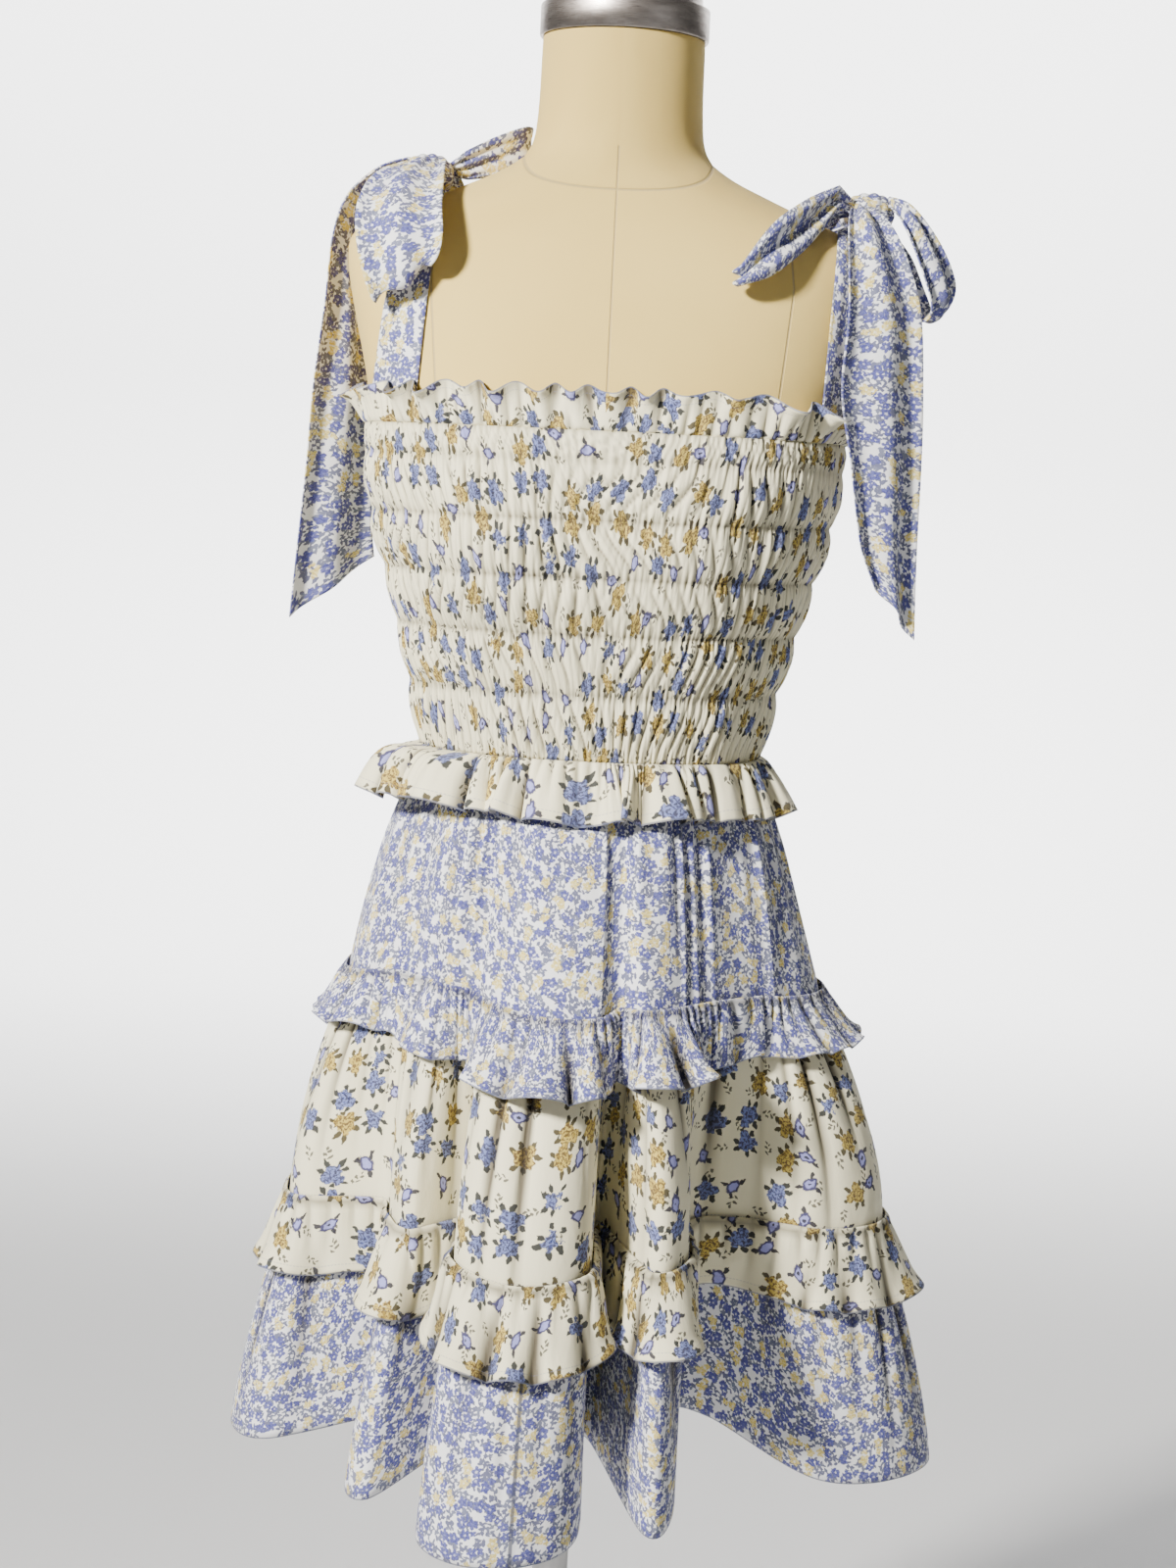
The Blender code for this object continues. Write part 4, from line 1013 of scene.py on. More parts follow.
def buildBodice():
    columns, rows = bodice["columns"], bodice["rows"]
    top, bottom = bodice["elastic"][-1] - 0.0004, bodice["elastic"][0] + 0.0004
    z = np.linspace(top, bottom, rows)
    turns = np.arange(2 * columns) / (2 * columns) - 0.25
    turnGrid = np.repeat(turns[None, :], rows, axis=0)
    zGrid = np.repeat(z[:, None], 2 * columns, axis=1)
    out, lines = bodiceOut(turnGrid, zGrid)
    points = formPoint(2 * np.pi * turnGrid, zGrid, out)
    # The upper and lower edges turn in towards the form
    topEdge, bottomEdge = [
        formPoint(2 * np.pi * turns, np.full_like(turns, level), bodice["edgeOut"]) for level in (top, bottom)
    ]
    grid = np.concatenate([topEdge[None], points, bottomEdge[None]])
    # Painted shade in the smocking's creases and along its stitched rows
    creaseShade = np.maximum(creaseOf(out, *bodice["creaseShade"]), lines)
    creaseShade = np.concatenate([creaseShade[:1], creaseShade, creaseShade[-1:]])
    steps = np.linalg.norm(np.roll(points, -1, axis=1) - points, axis=2).mean(axis=0)
    u = np.concatenate([[0], np.cumsum(steps)]) * bodice["fullness"]
    v = (np.concatenate([[top], z, [bottom]]) - bottom) * bodice["fullnessUp"] + 0.03
    uv = np.stack(np.broadcast_arrays(u[None, :], v[:, None]), axis=-1)
    for name, node, start in (("bodiceFront", "bodice_front", 0), ("bodiceBack", "bodice_back", columns)):
        picked = np.arange(start, start + columns + 1)
        around = picked % (2 * columns)
        piece = gridObject(
            name, grid[:, around], uv[:, picked], False, materials["rosePlainEdge"], creaseShade=creaseShade[:, around]
        )
        dressPiece(piece, node)


topFrill = {
    "height": 0.026,
    "columns": 1080,
    "rows": 14,
    "waves": 34,
    "flare": 0.0125,
    "sideFlare": 0.004,
    "rightFlare": 0.021,
    "waveFall": 0.0065,
    "sideFall": 0.004,
    "rightFall": 0.015,
    "pleats": 110,
    "pleatDepth": 0.0028,
    "rollDown": 0.0030,
    "rollOut": 0.0040,
    "curl": 0.0028,
    "creaseShade": (0.0026, 7),
    "cloth": 0.0007,
    "flat": (1.15, 0.028),
}


def buildTopFrill():
    facts = topFrill
    turns = np.arange(facts["columns"]) / facts["columns"]
    angle = 2 * np.pi * turns
    share = np.linspace(1, 0, facts["rows"])[:, None]
    phase = facts["waves"] * turns + drift(turns, 4.0, 0.55)
    wave = (0.5 - 0.5 * np.cos(2 * np.pi * phase)) * uneven(turns, 2.0, 0.35)
    side = np.sin(angle) ** 4
    right = np.maximum(0, np.sin(angle)) ** 8
    flare = facts["flare"] * wave + facts["sideFlare"] * side + facts["rightFlare"] * right
    fall = facts["sideFall"] * side + facts["rightFall"] * right + facts["waveFall"] * wave - 0.002
    foot = heights["bodiceTop"] - 0.0012
    z = foot + share * (facts["height"] + 0.0018 - fall)
    pleats = ridges(turns, facts["pleats"], 9.0, 0.6, 1.0)
    out = 0.0014 + 0.0012 * smooth(share / 0.15) + share**1.3 * flare
    out = out + facts["pleatDepth"] * pleats * smooth(share / 0.1) * (1 - share) ** 0.7
    # The edge rolls over a little on the crests
    z = z - facts["rollDown"] * smooth((share - 0.75) / 0.25) * wave
    out = out + facts["rollOut"] * smooth((share - 0.6) / 0.4) * wave
    points = formPoint(angle[None, :] + 0 * share, z, out)
    curl = facts["curl"] * share * np.sin(2 * np.pi * phase) * (0.4 + 0.6 * wave)
    points = points - sideways(points) * curl[..., None]
    uv = clothUv(points[::-1], 1.05, 0.013)[::-1]
    # Painted shade in the frill's creases
    creaseShade = creaseOf(out, *facts["creaseShade"])
    piece = gridObject("topFrill", points, uv, True, materials["rose"], facts["cloth"], creaseShade)
    dressPiece(piece, "top_frill")


# The skirt


skirtFolds = np.array([
    # angle, then radius at seam 1, seam 2 and the hem, then lift there in millimetres
    (-96, 0.158, 0.186, 0.216, 0, 0, 0),
    (-82, 0.158, 0.193, 0.228, 0, 0, 0),
    (-70, 0.154, 0.190, 0.208, 3, 2, 4),
    (-58, 0.141, 0.146, 0.124, 8, 6, 24),
    (-47, 0.139, 0.158, 0.187, 9, 4, 3),
    (-37, 0.142, 0.166, 0.200, 8, 2, 0),
    (-29, 0.137, 0.119, 0.135, 6, 5, 22),
    (-22, 0.145, 0.186, 0.226, 2, -4, -4),
    (-9, 0.156, 0.207, 0.243, -3, -11, -9),
    (4, 0.154, 0.190, 0.208, -3, -5, -2),
    (11, 0.140, 0.104, 0.092, 2, 4, 24),
    (17, 0.150, 0.188, 0.200, 2, -4, -2),
    (26, 0.146, 0.178, 0.178, 3, 0, 4),
    (40, 0.140, 0.124, 0.112, 4, 6, 38),
    (56, 0.143, 0.140, 0.122, 3, 5, 34),
    (64, 0.152, 0.188, 0.196, 1, 1, 0),
    (75, 0.164, 0.216, 0.248, 0, 0, -3),
    (88, 0.166, 0.212, 0.254, 0, 0, 0),
    (101, 0.158, 0.156, 0.148, 2, 5, 22),
    (113, 0.160, 0.200, 0.228, 0, 0, 0),
    (127, 0.162, 0.206, 0.238, 0, -3, -3),
    (139, 0.154, 0.140, 0.122, 2, 5, 26),
    (150, 0.159, 0.194, 0.220, 0, 0, 0),
    (163, 0.162, 0.205, 0.236, -2, -5, -5),
    (176, 0.158, 0.186, 0.204, 0, 0, 0),
    (186, 0.156, 0.146, 0.124, 1, 4, 24),
    (196, 0.159, 0.192, 0.216, 0, 0, 0),
    (209, 0.162, 0.206, 0.238, -1, -4, -4),
    (221, 0.154, 0.142, 0.128, 2, 5, 25),
    (233, 0.160, 0.198, 0.222, 0, 0, 0),
    (246, 0.161, 0.200, 0.230, 0, -2, -2),
    (256, 0.155, 0.150, 0.136, 2, 4, 22),
])
skirt = {
    "solidColumns": 96,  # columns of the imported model's skirt
    "finer": 10,  # columns here for each of those
    "cloth": 0.0007,
    "lap": 0.0024,  # from the middle of a tier's wall to the middle of what lies on it
    "powers": {1: 1.15, 2: 1.8, 3: 1.3},
    "rows": 26,  # of each tier
    "creaseShade": (0.0030, 10),
}


def foldControls(level):
    height = (heights["seam1"], heights["seam2"], heights["hem"])[level]
    angle, radius = np.radians(skirtFolds[:, 0]), skirtFolds[:, 1 + level]
    lift = skirtFolds[:, 4 + level] / 1000
    return np.stack([radius * np.sin(angle), -radius * np.cos(angle), height + lift], axis=-1)


def columnPlaces():
    lengths = sum(
        np.linalg.norm(np.roll(foldControls(level), -1, axis=0) - foldControls(level), axis=1)
        for level in range(3)
    )
    ends = np.concatenate([[0], np.cumsum(lengths)]) / lengths.sum()
    counts = np.diff(np.round(ends * skirt["solidColumns"]).astype(int)) * skirt["finer"]
    fold = np.repeat(np.arange(len(counts)), counts)
    share = np.concatenate([np.arange(count) / count for count in counts])
    return fold, share


foldBefore, foldShare = columnPlaces()
skirtColumns = len(foldBefore)
skirtTurns = np.arange(skirtColumns) / skirtColumns


def foldRing(level):
    controls = foldControls(level)
    around = [controls[(foldBefore + i) % len(controls)] for i in (-1, 0, 1, 2)]
    return curveThrough(*around, foldShare[:, None])


foldAngles = np.append(skirtFolds[:, 0], skirtFolds[0, 0] + 360)
foldSpans = foldAngles[foldBefore + 1] - foldAngles[foldBefore]
skirtAngles = np.radians(foldAngles[foldBefore] + foldShare * foldSpans)
skirtRings = [foldRing(level) for level in range(3)]


def tierPoints(tier, share):
    # The middle of a tier's wall for each share of the way down it, with no small folds
    share = np.atleast_1d(share)
    if tier == 1:
        top = formPoint(skirtAngles, np.full(skirtColumns, heights["waist"] - 0.0009), 0.0017)
    else:
        top = skirtRings[tier - 2] - np.array((0, 0, 0.0006))
    bottom = skirtRings[2] if tier == 3 else skirtRings[tier - 1] + np.array((0, 0, 0.0006))
    swell = 1 - (1 - share) ** skirt["powers"][tier]
    ring = top + (bottom - top) * swell[:, None, None]
    ring[..., 2] = top[:, 2] + (bottom - top)[:, 2] * share[:, None]
    if tier == 1:
        turns = 2 * np.pi * skirtTurns
        depth = 0.0026 * np.sin(10 * turns) * (0.75 + 0.25 * np.sin(3 * turns))
        ring = ring + levelNormals(ring) * (depth * np.sin(np.pi * share)[:, None])[..., None]
    return ring


def cornerReach(ring):
    flat = ring * (1, 1, 0)
    ahead = unit(np.roll(flat, -skirt["finer"], axis=-2) - flat)
    behind = unit(flat - np.roll(flat, skirt["finer"], axis=-2))
    halfTurn = np.sqrt(np.maximum(0, 1 + (ahead * behind).sum(axis=-1)) / 2)
    return 1 / np.maximum(halfTurn, 0.6)


def overTier(tier, share, out):
    share = np.atleast_1d(share)
    ring = tierPoints(tier, share)
    down = tierPoints(tier, np.minimum(share + 0.02, 1)) - tierPoints(tier, np.maximum(share - 0.02, 0))
    along = np.roll(ring, -1, axis=1) - np.roll(ring, 1, axis=1)
    return ring + unit(np.cross(down, along)) * (out * cornerReach(ring))[..., None]


def openness(level):
    radius = np.linalg.norm(skirtRings[level][:, :2], axis=1)
    low, high = np.percentile(radius, 12), np.percentile(radius, 70)
    return smooth((radius - low) / (high - low))


def columnRoom(level):
    ring = skirtRings[level]
    reach = 5
    widths = np.linalg.norm(np.roll(ring, -reach, axis=0) - np.roll(ring, reach, axis=0), axis=1)
    return np.clip(widths / widths.mean(), 0, 1.2)


def keptOut(ring, level, share):
    seamRing = skirtRings[level]
    slant = (unit(seamRing * (1, 1, 0)) * levelNormals(seamRing)).sum(axis=-1)
    lap = skirt["lap"] * cornerReach(seamRing) / np.maximum(slant, 0.4)
    seam = np.linalg.norm(seamRing[:, :2], axis=1) + lap
    radius = np.linalg.norm(ring[..., :2], axis=-1)
    wider = 1 + np.maximum(0, seam - radius) * share / radius
    return ring * np.stack([wider, wider, np.ones_like(wider)], axis=-1)


tiers = {
    1: {
        "node": "tier_1", "slot": "ditsy_cotton", "shift": 0.0, "flat": (1.00, 0.165),
        # count, depth, share of the height where the folds end, seed
        "folds": ((38, -0.0064, 1.70, 1.0), (110, 0.0010, 0.30, 2.0)),
    },
    2: {
        "node": "tier_2", "slot": "floral_cotton", "shift": 0.37, "flat": (1.70, 0.160),
        "folds": ((58, 0.0100, 1.45, 3.0), (150, 0.0022, 0.60, 4.0)),
    },
    3: {
        "node": "tier_3", "slot": "ditsy_cotton", "shift": 0.71, "flat": (2.40, 0.172),
        "seamAngle": -6,
        "folds": ((58, 0.0085, 1.40, 5.0), (150, 0.0020, 0.55, 6.0)),
    },
}


def buildTier(tier):
    facts = tiers[tier]
    share = np.linspace(0, 1, skirt["rows"])
    ring = tierPoints(tier, share)
    out = 0.0
    for count, depth, end, seed in facts["folds"]:
        ends = end * (0.55 + 0.45 * uneven(skirtTurns, seed + 9, 0))
        strength = smooth((ends - share[:, None]) / ends) * smooth(share / 0.04 + 0.35)[:, None]
        folds = (1 - ridges(skirtTurns, count, seed, 0.6, 0.8)) * uneven(skirtTurns, seed + 0.5, 0.25)
        if depth < 0:
            strength = strength * smooth(share / 0.45)[:, None]
        out = out - depth * strength * folds * columnRoom(max(tier - 2, 0))
    grid = ring + levelNormals(ring) * out[..., None]
    uv = clothUv(grid, 1.0, facts["shift"])
    material = materials[printOf(facts["slot"]) + "PlainEdge"]
    if "seamAngle" in facts:
        # Three panels round, with one seam on the front fold
        front = uv[-1, np.argmin(np.abs(skirtAngles - math.radians(facts["seamAngle"]))), 0]
        material = cottonMaterial("ditsyCottonPanels", "ditsyPrint", panels=(np.ptp(uv[-1, :, 0]) / 3, front))
    # Painted shade in the folds' creases
    creaseShade = creaseOf(out, *skirt["creaseShade"])
    piece = gridObject(pieceName(facts["node"]), grid, uv, True, material, skirt["cloth"], creaseShade)
    dressPiece(piece, facts["node"])


ruffles = {
    0: {
        "node": "ruffle_1", "slot": "ditsy_cotton",
        "length": 0.043, "waves": 54, "flare": 0.0165, "sideLift": 0.015, "valley": 0.7, "scallop": 0.008,
        "pleats": 124, "curl": 0.0042, "shift": 1.13, "flat": (1.50, 0.048),
    },
    1: {
        "node": "ruffle_2", "slot": "floral_cotton",
        "length": 0.050, "waves": 52, "flare": 0.0165, "sideLift": 0.004, "valley": 0.3, "scallop": 0.010,
        "pleats": 140, "curl": 0.0042, "shift": 1.57, "flat": (2.10, 0.055),
    },
}
ruffleHead = (  # up from the seam, out from the tier, share of the pleats' depth
    (0.0060, 0.0006, 0.0), (0.0048, 0.0016, 0.35), (0.0030, skirt["lap"], 0.8),
)
ruffleShape = {"rows": 16, "pleats": 0.0030, "lip": 0.0035, "side": 0.6, "creaseShade": (0.0028, 7)}


def buildRuffle(level):
    facts = ruffles[level]
    upper, lower = level + 1, level + 2
    tierLength = np.mean(skirtRings[level][:, 2]) - np.mean(skirtRings[level + 1][:, 2])
    upperLength = heights["waist"] - heights["seam1"] if level == 0 else heights["seam1"] - heights["seam2"]
    turns = skirtTurns
    atSides = np.sin(skirtAngles) ** 4
    phase = facts["waves"] * turns + drift(turns, facts["shift"], 0.55)
    waves = (0.5 - 0.5 * np.cos(2 * np.pi * phase)) ** 0.75 * uneven(turns, facts["shift"] + 2, 0.40)
    reach = (facts["valley"] + (1 - facts["valley"]) * openness(level + 1)) * columnRoom(level) ** 1.5
    reach = reach * (1 - 0.5 * atSides)
    pleats = ridges(turns, facts["pleats"], facts["shift"] + 5, 0.7, 1.0)
    head = np.concatenate([
        keptOut(overTier(upper, 1 - up / upperLength, lap), level, 1) for up, lap, _ in ruffleHead
    ])
    share = np.linspace(0.03, 1, ruffleShape["rows"])
    body = overTier(lower, share * facts["length"] / tierLength, skirt["lap"])
    share = share[:, None]
    body = keptOut(body, level, 1 - 0.5 * share**2)
    away, along = levelNormals(body), sideways(body)
    # At the sides the first ruffle swells just under its seam and then hangs
    most = ruffleShape["side"]
    side = most * atSides if level == 0 else 0.0
    fullness = (0.2 + 0.8 * waves) * (1 - side) * reach + 0.6 * side * reach
    out = facts["flare"] * share ** (0.7 - 0.7 * side) * fullness
    out = out + ruffleShape["pleats"] * pleats * (1 - share) ** 1.2
    out = out + ruffleShape["lip"] * smooth((share - 0.7) / 0.3) * waves * reach * (1 - side / most)
    body = body + away * out[..., None]
    slide = facts["curl"] * share * np.sin(2 * np.pi * phase) * uneven(turns, facts["shift"] + 7, 0.4) * reach
    body = body - along * slide[..., None]
    body[..., 2] += share**2 * (facts["sideLift"] * atSides + facts["scallop"] * waves * reach)
    headPleats = np.array([depth for _, _, depth in ruffleHead])[:, None] * ruffleShape["pleats"] * pleats
    grid = np.concatenate([head + levelNormals(head) * headPleats[..., None], body])
    # Painted shade in the ruffle's creases
    creaseShade = creaseOf(out, *ruffleShape["creaseShade"])
    # Painted shade: a painted line of shade along the seam, over the crease shade
    creaseShade = np.concatenate([*[np.maximum(creaseShade[:1], least) for least in (0.0, 0.4, 0.7)], creaseShade])
    uv = clothUv(grid, 1.0, facts["shift"])
    material = materials[printOf(facts["slot"])]
    piece = gridObject(pieceName(facts["node"]), grid, uv, True, material, skirt["cloth"], creaseShade)
    dressPiece(piece, facts["node"])


waistFrill = {
    "length": 0.040,
    "rows": 15,
    "waves": 34,
    "flare": 0.0165,
    "scallop": 0.008,
    "pleats": 108,
    "pleatDepth": 0.0034,
    "smallFolds": 58,
    "smallDepth": 0.0036,
    "curl": 0.0034,
    "creaseShade": (0.0028, 8),
    "printWidth": 0.84,  # the print looks wider where the frill lies open
    "kickAngle": -66,  # the left end stands out further than the rest
    "kickSpread": 26,
    "kickFlare": 0.020,
    "kickLift": 0.004,
    "kickRise": 0.012,
    "flat": (1.00, 0.044),
}


def buildWaistFrill():
    facts, turns = waistFrill, skirtTurns
    phase = facts["waves"] * turns + drift(turns, 0.8, 0.5)
    waves = (0.5 - 0.5 * np.cos(2 * np.pi * phase)) ** 0.65 * uneven(turns, 5.5, 0.50)
    smallFolds = ridges(turns, facts["smallFolds"], 3.3, 0.5, 0.8) * uneven(turns, 2.6, 0.3)
    kick = np.exp(-(((np.degrees(skirtAngles) - facts["kickAngle"]) / facts["kickSpread"]) ** 2))
    pleats = ridges(turns, facts["pleats"], 6.6, 0.7, 1.0)
    share = np.linspace(0, 1, facts["rows"])
    ring = overTier(1, share * facts["length"] / (heights["waist"] - heights["seam1"]), skirt["lap"])
    # The head goes up behind the bodice's lower edge
    head = formPoint(skirtAngles, np.full(skirtColumns, heights["waist"] + 0.0008), 0.0007)
    share = share[:, None]
    out = share**0.55 * facts["flare"] * waves + share**0.6 * facts["kickFlare"] * kick
    out = out + facts["pleatDepth"] * pleats * (1 - share)
    out = out + facts["smallDepth"] * share**0.5 * (1 - 0.6 * share) * smallFolds
    away, along = levelNormals(ring), sideways(ring)
    ring = ring + away * out[..., None]
    ring = ring - along * (facts["curl"] * share * np.sin(2 * np.pi * phase))[..., None]
    ring[..., 2] += kick * (facts["kickLift"] * share + facts["kickRise"] * np.sin(np.pi * share))
    ring[..., 2] += facts["scallop"] * share * waves
    ring = np.concatenate([head[None], ring])
    # Painted shade in the frill's creases
    creaseShade = creaseOf(out, *facts["creaseShade"])
    creaseShade = np.concatenate([creaseShade[:1], creaseShade])
    uv = clothUv(ring, 1.0, 0.21) * facts["printWidth"]
    piece = gridObject("waistFrill", ring, uv, True, materials["rose"], skirt["cloth"], creaseShade)
    dressPiece(piece, "waist_frill")


# Shoulder ties. Each line is a point of one edge and one of the other, in millimetres, from the knot on


ribbonRails = {
    "loop_front_left": (
        (-140, -18, 1348, -114, -20, 1350),
        (-160, -40, 1336, -113, -50, 1337),
        (-168, -66, 1312, -112, -78, 1314),
        (-165, -80, 1284, -110, -89, 1296),
        (-157, -84, 1258, -112, -90, 1282),
        (-152, -78, 1250, -117, -84, 1275),
        (-155, -68, 1262, -119, -75, 1286),
        (-156, -56, 1296, -120, -66, 1304),
        (-146, -44, 1318, -120, -48, 1324),
        (-136, -26, 1331, -116, -26, 1332),
    ),
    "loop_back_left": (
        (-101, 10, 1341, -102, 4, 1359),
        (-82, 16, 1346, -84, 8, 1369),
        (-64, 24, 1354, -64, 16, 1378),
        (-59, 32, 1355, -59, 28, 1378),
        (-66, 40, 1352, -67, 38, 1374),
        (-86, 36, 1346, -88, 31, 1365),
        (-102, 23, 1342, -104, 18, 1357),
    ),
    "tail_outer_left": (
        (-141, 4, 1352, -136, 14, 1350),
        (-160, 4, 1345, -154, 26, 1338),
        (-181, 8, 1326, -173, 36, 1318),
        (-191, 14, 1298, -177, 44, 1290),
        (-195, 18, 1255, -169, 54, 1252),
        (-201, 20, 1200, -164, 58, 1198),
        (-204, 18, 1140, -162, 58, 1140),
        (-208, 16, 1085, -160, 58, 1100),
        (-211, 14, 1040, -158, 58, 1083),
    ),
    "tail_back_left": (
        (-130, 18, 1350, -114, 18, 1350),
        (-134, 40, 1336, -106, 40, 1342),
        (-136, 62, 1314, -101, 68, 1322),
        (-136, 83, 1280, -97, 96, 1284),
        (-136, 96, 1235, -93, 111, 1238),
        (-136, 101, 1180, -91, 117, 1180),
        (-136, 101, 1120, -89, 115, 1110),
        (-136, 101, 1095, -88, 114, 1052),
    ),
    "loop_inner_right": (
        (146, -30, 1328, 147, -22, 1345),
        (124, -64, 1299, 124, -48, 1332),
        (102, -87, 1280, 101, -78, 1312),
        (84, -92, 1272, 83, -89, 1286),
        (82, -85, 1272, 81, -83, 1284),
        (104, -76, 1281, 102, -68, 1305),
        (126, -56, 1302, 126, -40, 1322),
        (144, -19, 1323, 146, -14, 1332),
    ),
    "loop_outer_right": (
        (182, -15, 1334, 183, 2, 1342),
        (190, -42, 1319, 197, -14, 1335),
        (200, -58, 1292, 215, -30, 1310),
        (208, -62, 1268, 226, -36, 1284),
        (207, -60, 1258, 223, -34, 1268),
        (201, -54, 1258, 214, -28, 1262),
        (196, -46, 1274, 207, -22, 1276),
        (190, -30, 1298, 197, -10, 1300),
        (183, -14, 1314, 186, 1, 1317),
    ),
    "tail_front_right": (
        (156, -22, 1331, 168, -20, 1331),
        (152, -52, 1318, 178, -44, 1322),
        (152, -72, 1290, 190, -54, 1300),
        (153, -80, 1255, 202, -58, 1262),
        (151, -84, 1208, 207, -58, 1206),
        (160, -80, 1162, 209, -54, 1160),
        (170, -74, 1110, 210, -50, 1105),
        (181, -68, 1085, 212, -48, 1048),
    ),
    "tail_back_right": (
        (150, 18, 1333, 164, 18, 1333),
        (143, 42, 1324, 170, 40, 1320),
        (134, 68, 1306, 168, 60, 1300),
        (124, 92, 1272, 164, 76, 1266),
        (114, 108, 1220, 156, 90, 1216),
        (104, 114, 1165, 146, 98, 1160),
        (96, 114, 1110, 138, 98, 1090),
        (92, 114, 1085, 134, 98, 1044),
    ),
}
knot = {
    "radii": (0.018, 0.016, 0.0145),
    "turn": 88,
    "left": (-0.121, 0.0),
    "right": (0.160, 0.006),
    "sink": 0.86,  # how far the ends go into the knot
    "gather": 0.62,
    "rows": 40,
    "columns": 64,
    "roll": 0.016,  # metres of cloth for each radian
}
ribbons = {
    # node: is it a loop, folds along it, their depth, fine folds by the knot, its cut size
    "loop_front_left": (True, 3, 0.0030, 5, (0.225, 0.045)),
    "loop_back_left": (True, 1, 0.0015, 3, (0.100, 0.022)),
    "tail_outer_left": (False, 3, 0.0030, 4, (0.330, 0.042)),
    "tail_back_left": (False, 3, 0.0030, 4, (0.330, 0.042)),
    "loop_inner_right": (True, 3, 0.0030, 5, (0.165, 0.030)),
    "loop_outer_right": (True, 3, 0.0026, 5, (0.185, 0.030)),
    "tail_front_right": (False, 3, 0.0040, 4, (0.290, 0.050)),
    "tail_back_right": (False, 3, 0.0030, 4, (0.330, 0.045)),
}
ribbonShape = {
    "steps": 10,  # between one row of the table and the next
    "columns": 28,
    "cloth": 0.0009,
    "fineDepth": 0.0016,
    "fineReach": 0.022,  # how far from the knot the fine folds go
    "wander": 0.045,
}


def knotCentre(side):
    x, lift = knot[side]
    return shoulderPoint(np.array(x), knot["turn"], np.array(knot["radii"][2] + 0.0005 + lift))


def rowAtKnot(row, centre):
    middle = row.mean(axis=0)
    radii = np.array(knot["radii"]) * knot["sink"]
    ways = middle + (row - middle) * knot["gather"] - centre
    return centre + ways / np.linalg.norm(ways / radii, axis=1)[:, None]


def buildRibbon(node, centre):
    loop, folds, depth, fineFolds, flat = ribbons[node]
    steps = ribbonShape["steps"]
    rails = np.array(ribbonRails[node], float).reshape(-1, 2, 3) / 1000
    padded = np.concatenate([rails[:1], rails, rails[-1:]])
    stations = [
        curveThrough(*padded[i : i + 4], step / steps)
        for i in range(len(rails) - 1) for step in range(steps)
    ]
    stations = np.array([*stations, rails[-1]])
    share = np.linspace(0, 1, ribbonShape["columns"] + 1)[None, :]
    bow = np.sin(np.pi * share)
    one, other = stations[:, :1], stations[:, 1:]
    ahead = np.concatenate([stations[1:], stations[-1:]])
    behind = np.concatenate([stations[:1], stations[:-1]])
    out = unit(np.cross((other - one)[:, 0], (ahead - behind).sum(axis=1)))
    middle = stations.mean(axis=1)
    length = np.concatenate([[0], np.cumsum(np.linalg.norm(np.diff(middle, axis=0), axis=1))])
    fromKnot = np.minimum(length, length[-1] - length) if loop else length
    near = np.exp(-fromKnot / ribbonShape["fineReach"])[:, None]
    wander = 0.5 * np.sin(length / ribbonShape["wander"] + 1.3)[:, None]
    grow = smooth(fromKnot / 0.03)[:, None]
    wave = depth * np.sin(np.pi * (folds * share + 0.25 * wander * bow)) * (0.45 + 0.55 * grow)
    fine = np.sin(2 * np.pi * fineFolds * share + 2 * wander)
    wave = wave + ribbonShape["fineDepth"] * near * fine * bow**0.5
    grid = one + (other - one) * share[..., None] + out[:, None, :] * wave[..., None]
    first, last = rowAtKnot(grid[0], centre), rowAtKnot(grid[-1], centre)
    grid = np.concatenate([first[None], grid, last[None]] if loop else [first[None], grid])
    uv = ribbonUv(grid, flat[1])
    return gridObject(pieceName(node), grid, uv, False, materials["ditsy"], ribbonShape["cloth"])


def ribbonUv(grid, width):
    down = np.linalg.norm(np.diff(grid.mean(axis=1), axis=0), axis=1)
    v = np.concatenate([[0], np.cumsum(down)])
    v = v[-1] - v
    u = np.linspace(0, width, grid.shape[1])
    return np.stack(np.broadcast_arrays(u[None, :] + 0.3 * grid[0, 0, 0], v[:, None] + 0.0012), axis=-1)


straps = {
    # node: foot x and width, top x and width, is it behind, its cut size
    "strap_front_left": ((-0.139, 0.032), (-0.124, 0.022), False, (0.190, 0.034)),
    "strap_back_left": ((-0.118, 0.033), (-0.121, 0.022), True, (0.190, 0.034)),
    "strap_front_right": ((0.1475, 0.018), (0.156, 0.018), False, (0.185, 0.030)),
    "strap_back_right": ((0.120, 0.033), (0.152, 0.020), True, (0.190, 0.034)),
}
strapShape = {
    "rows": 56,
    "columns": 20,
    "bend": 0.4,  # share of the way where the chest ends and the shoulder begins
    "turn": 72,  # degrees over the shoulder
    "out": 0.0018,
    "fold": 0.0010,
}


def buildStrap(node, centre):
    foot, top, behind, flat = straps[node]
    climb = np.linspace(0, 1, strapShape["rows"])[:, None]
    x = foot[0] + (top[0] - foot[0]) * climb
    width = foot[1] + (top[1] - foot[1]) * climb
    side = math.copysign(1, foot[0])
    share = np.linspace(0, 1, strapShape["columns"] + 1)[None, :]
    place = x + side * width * (0.5 - share)
    # Two soft folds run up the strap to the knot
    fold = strapShape["fold"] * np.sin(np.pi * 2 * share) ** 2 * (0.3 + 0.7 * climb)
    out = strapShape["out"] + fold + 0 * place
    bend = strapShape["bend"]
    rise = np.minimum(1, climb / bend)
    turn = np.maximum(0, climb - bend) / (1 - bend) * strapShape["turn"]
    z = heights["strapFoot"] + (heights["shoulder"] - heights["strapFoot"]) * rise + 0 * place
    low = chestPoint(place, z, behind, out)
    high = shoulderPoint(place, (180 - turn if behind else turn) + 0 * place, out)
    grid = np.where((rise < 1)[..., None], low, high)
    grid = np.concatenate([grid, rowAtKnot(grid[-1], centre)[None]])
    uv = ribbonUv(grid, flat[1])
    return gridObject(pieceName(node), grid, uv, False, materials["ditsy"], ribbonShape["cloth"])


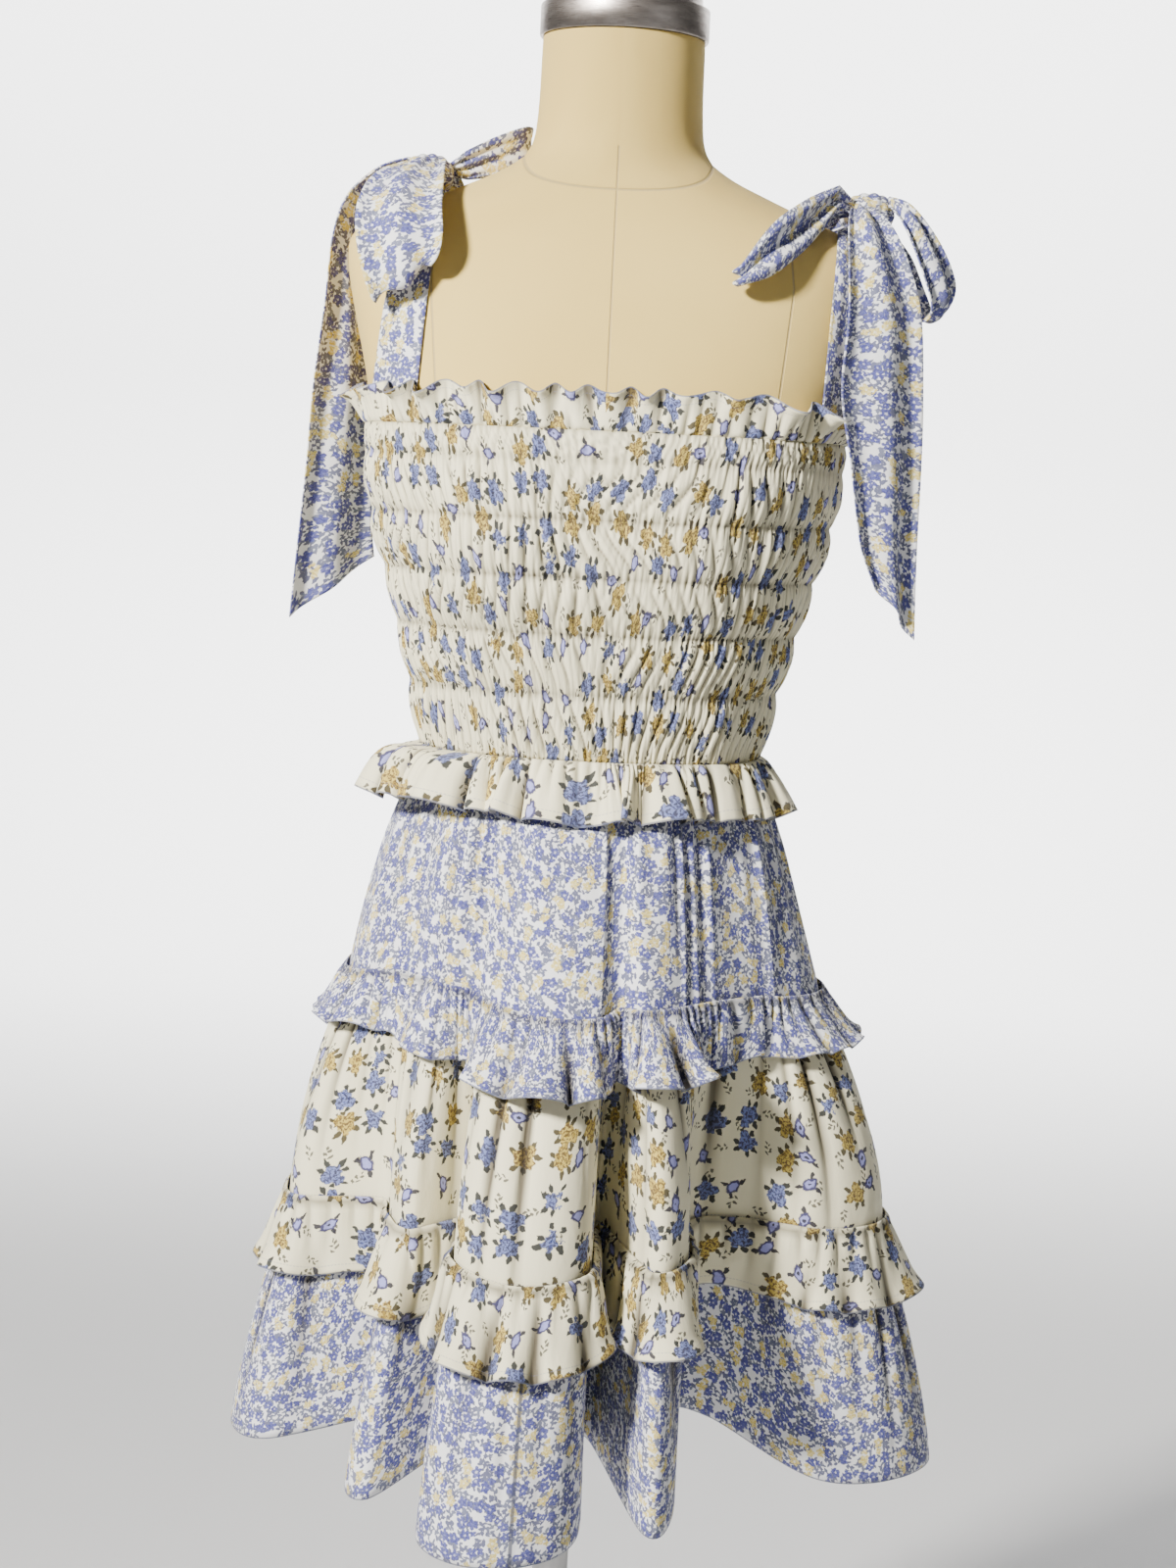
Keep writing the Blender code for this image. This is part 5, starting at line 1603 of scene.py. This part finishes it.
def buildKnot(side, centre):
    high = np.linspace(0.02, np.pi - 0.02, knot["rows"])[:, None]
    around = 2 * np.pi * np.arange(knot["columns"])[None, :] / knot["columns"]
    # The wrap runs over the knot from front to back, in tight folds
    x = np.cos(high) + 0 * around
    y = np.sin(high) * np.cos(around)
    z = np.sin(high) * np.sin(around)
    wraps = np.abs(np.sin(2.6 * np.pi * x + 0.9 * y + 0.5)) ** 0.7
    size = 0.93 + 0.10 * wraps * np.sin(high) + 0.03 * np.sin(3 * around + 4 * x)
    grid = centre + np.stack([x * size, y * size, z * size], axis=-1) * np.array(knot["radii"])
    u = knot["roll"] * high + 0.5
    v = knot["roll"] * np.append(around[0], 2 * np.pi)[None, :] + 0.004
    uv = np.stack(np.broadcast_arrays(u, v), axis=-1)
    return gridObject("knot" + side.capitalize(), grid, uv, True, materials["ditsyPlainEdge"])


def buildTies():
    for side in ("left", "right"):
        centre = knotCentre(side)
        lump = buildKnot(side, centre)
        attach(lump, "root")
        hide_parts("knot_" + side)
        for node in [name for name in straps if name.endswith(side)]:
            piece = buildStrap(node, centre)
            dressPiece(piece, node)
        for node in [name for name in ribbons if name.endswith(side)]:
            piece = buildRibbon(node, centre)
            dressPiece(piece, node)


# The studio


studio = {
    "pale": (0.80, 0.80, 0.80),
    "flat": 4.2,  # from the middle to where the wall begins to curve up
    "bend": 1.4,
    "top": 5.2,
    "steps": 96,
    "wall": (50, 130),  # degrees round, 90 is behind the dress
    "floor": 4.3,
}


def buildFloor():
    # A pale round floor, and behind the dress it curves up into a wall
    made, _, _ = newMaterial("paleFloor", {"Base Color": (*studio["pale"], 1.0), "Roughness": 0.9})
    flat, bend, steps = studio["flat"], studio["bend"], studio["steps"]
    bends = np.linspace(0, math.pi / 2, 14)
    profile = [(flat + bend * math.sin(a), bend - bend * math.cos(a)) for a in bends]
    profile.append((flat + bend, studio["top"]))
    first, last = (math.radians(end) for end in studio["wall"])
    angles = np.linspace(first, last, steps)
    vertices = [(reach * math.cos(a), reach * math.sin(a), z) for reach, z in profile for a in angles]
    faces = [
        (row * steps + i, (row + 1) * steps + i, (row + 1) * steps + i + 1, row * steps + i + 1)
        for row in range(len(profile) - 1) for i in range(steps - 1)
    ]
    start = len(vertices)
    around = np.linspace(0, 2 * math.pi, steps, endpoint=False)
    vertices += [(studio["floor"] * math.cos(a), studio["floor"] * math.sin(a), 0.0) for a in around]
    faces.append(tuple(range(start, start + steps)))
    mesh = bpy.data.meshes.new("paleFloor")
    mesh.from_pydata(vertices, [], faces)
    mesh.materials.append(made)
    mesh.shade_smooth()
    sweep = bpy.data.objects.new("paleFloor", mesh)
    bpy.context.scene.collection.objects.link(sweep)


buildCamera()
buildLights()
buildFloor()
print("camera, lights and floor placed")
buildForm()
buildCapAndStand()
print("dress form made")
buildBodice()
buildTopFrill()
print("bodice made")
for tier in tiers:
    buildTier(tier)
print("tiers made")
for level in ruffles:
    buildRuffle(level)
buildWaistFrill()
print("ruffles made")
buildTies()
print("ties made")
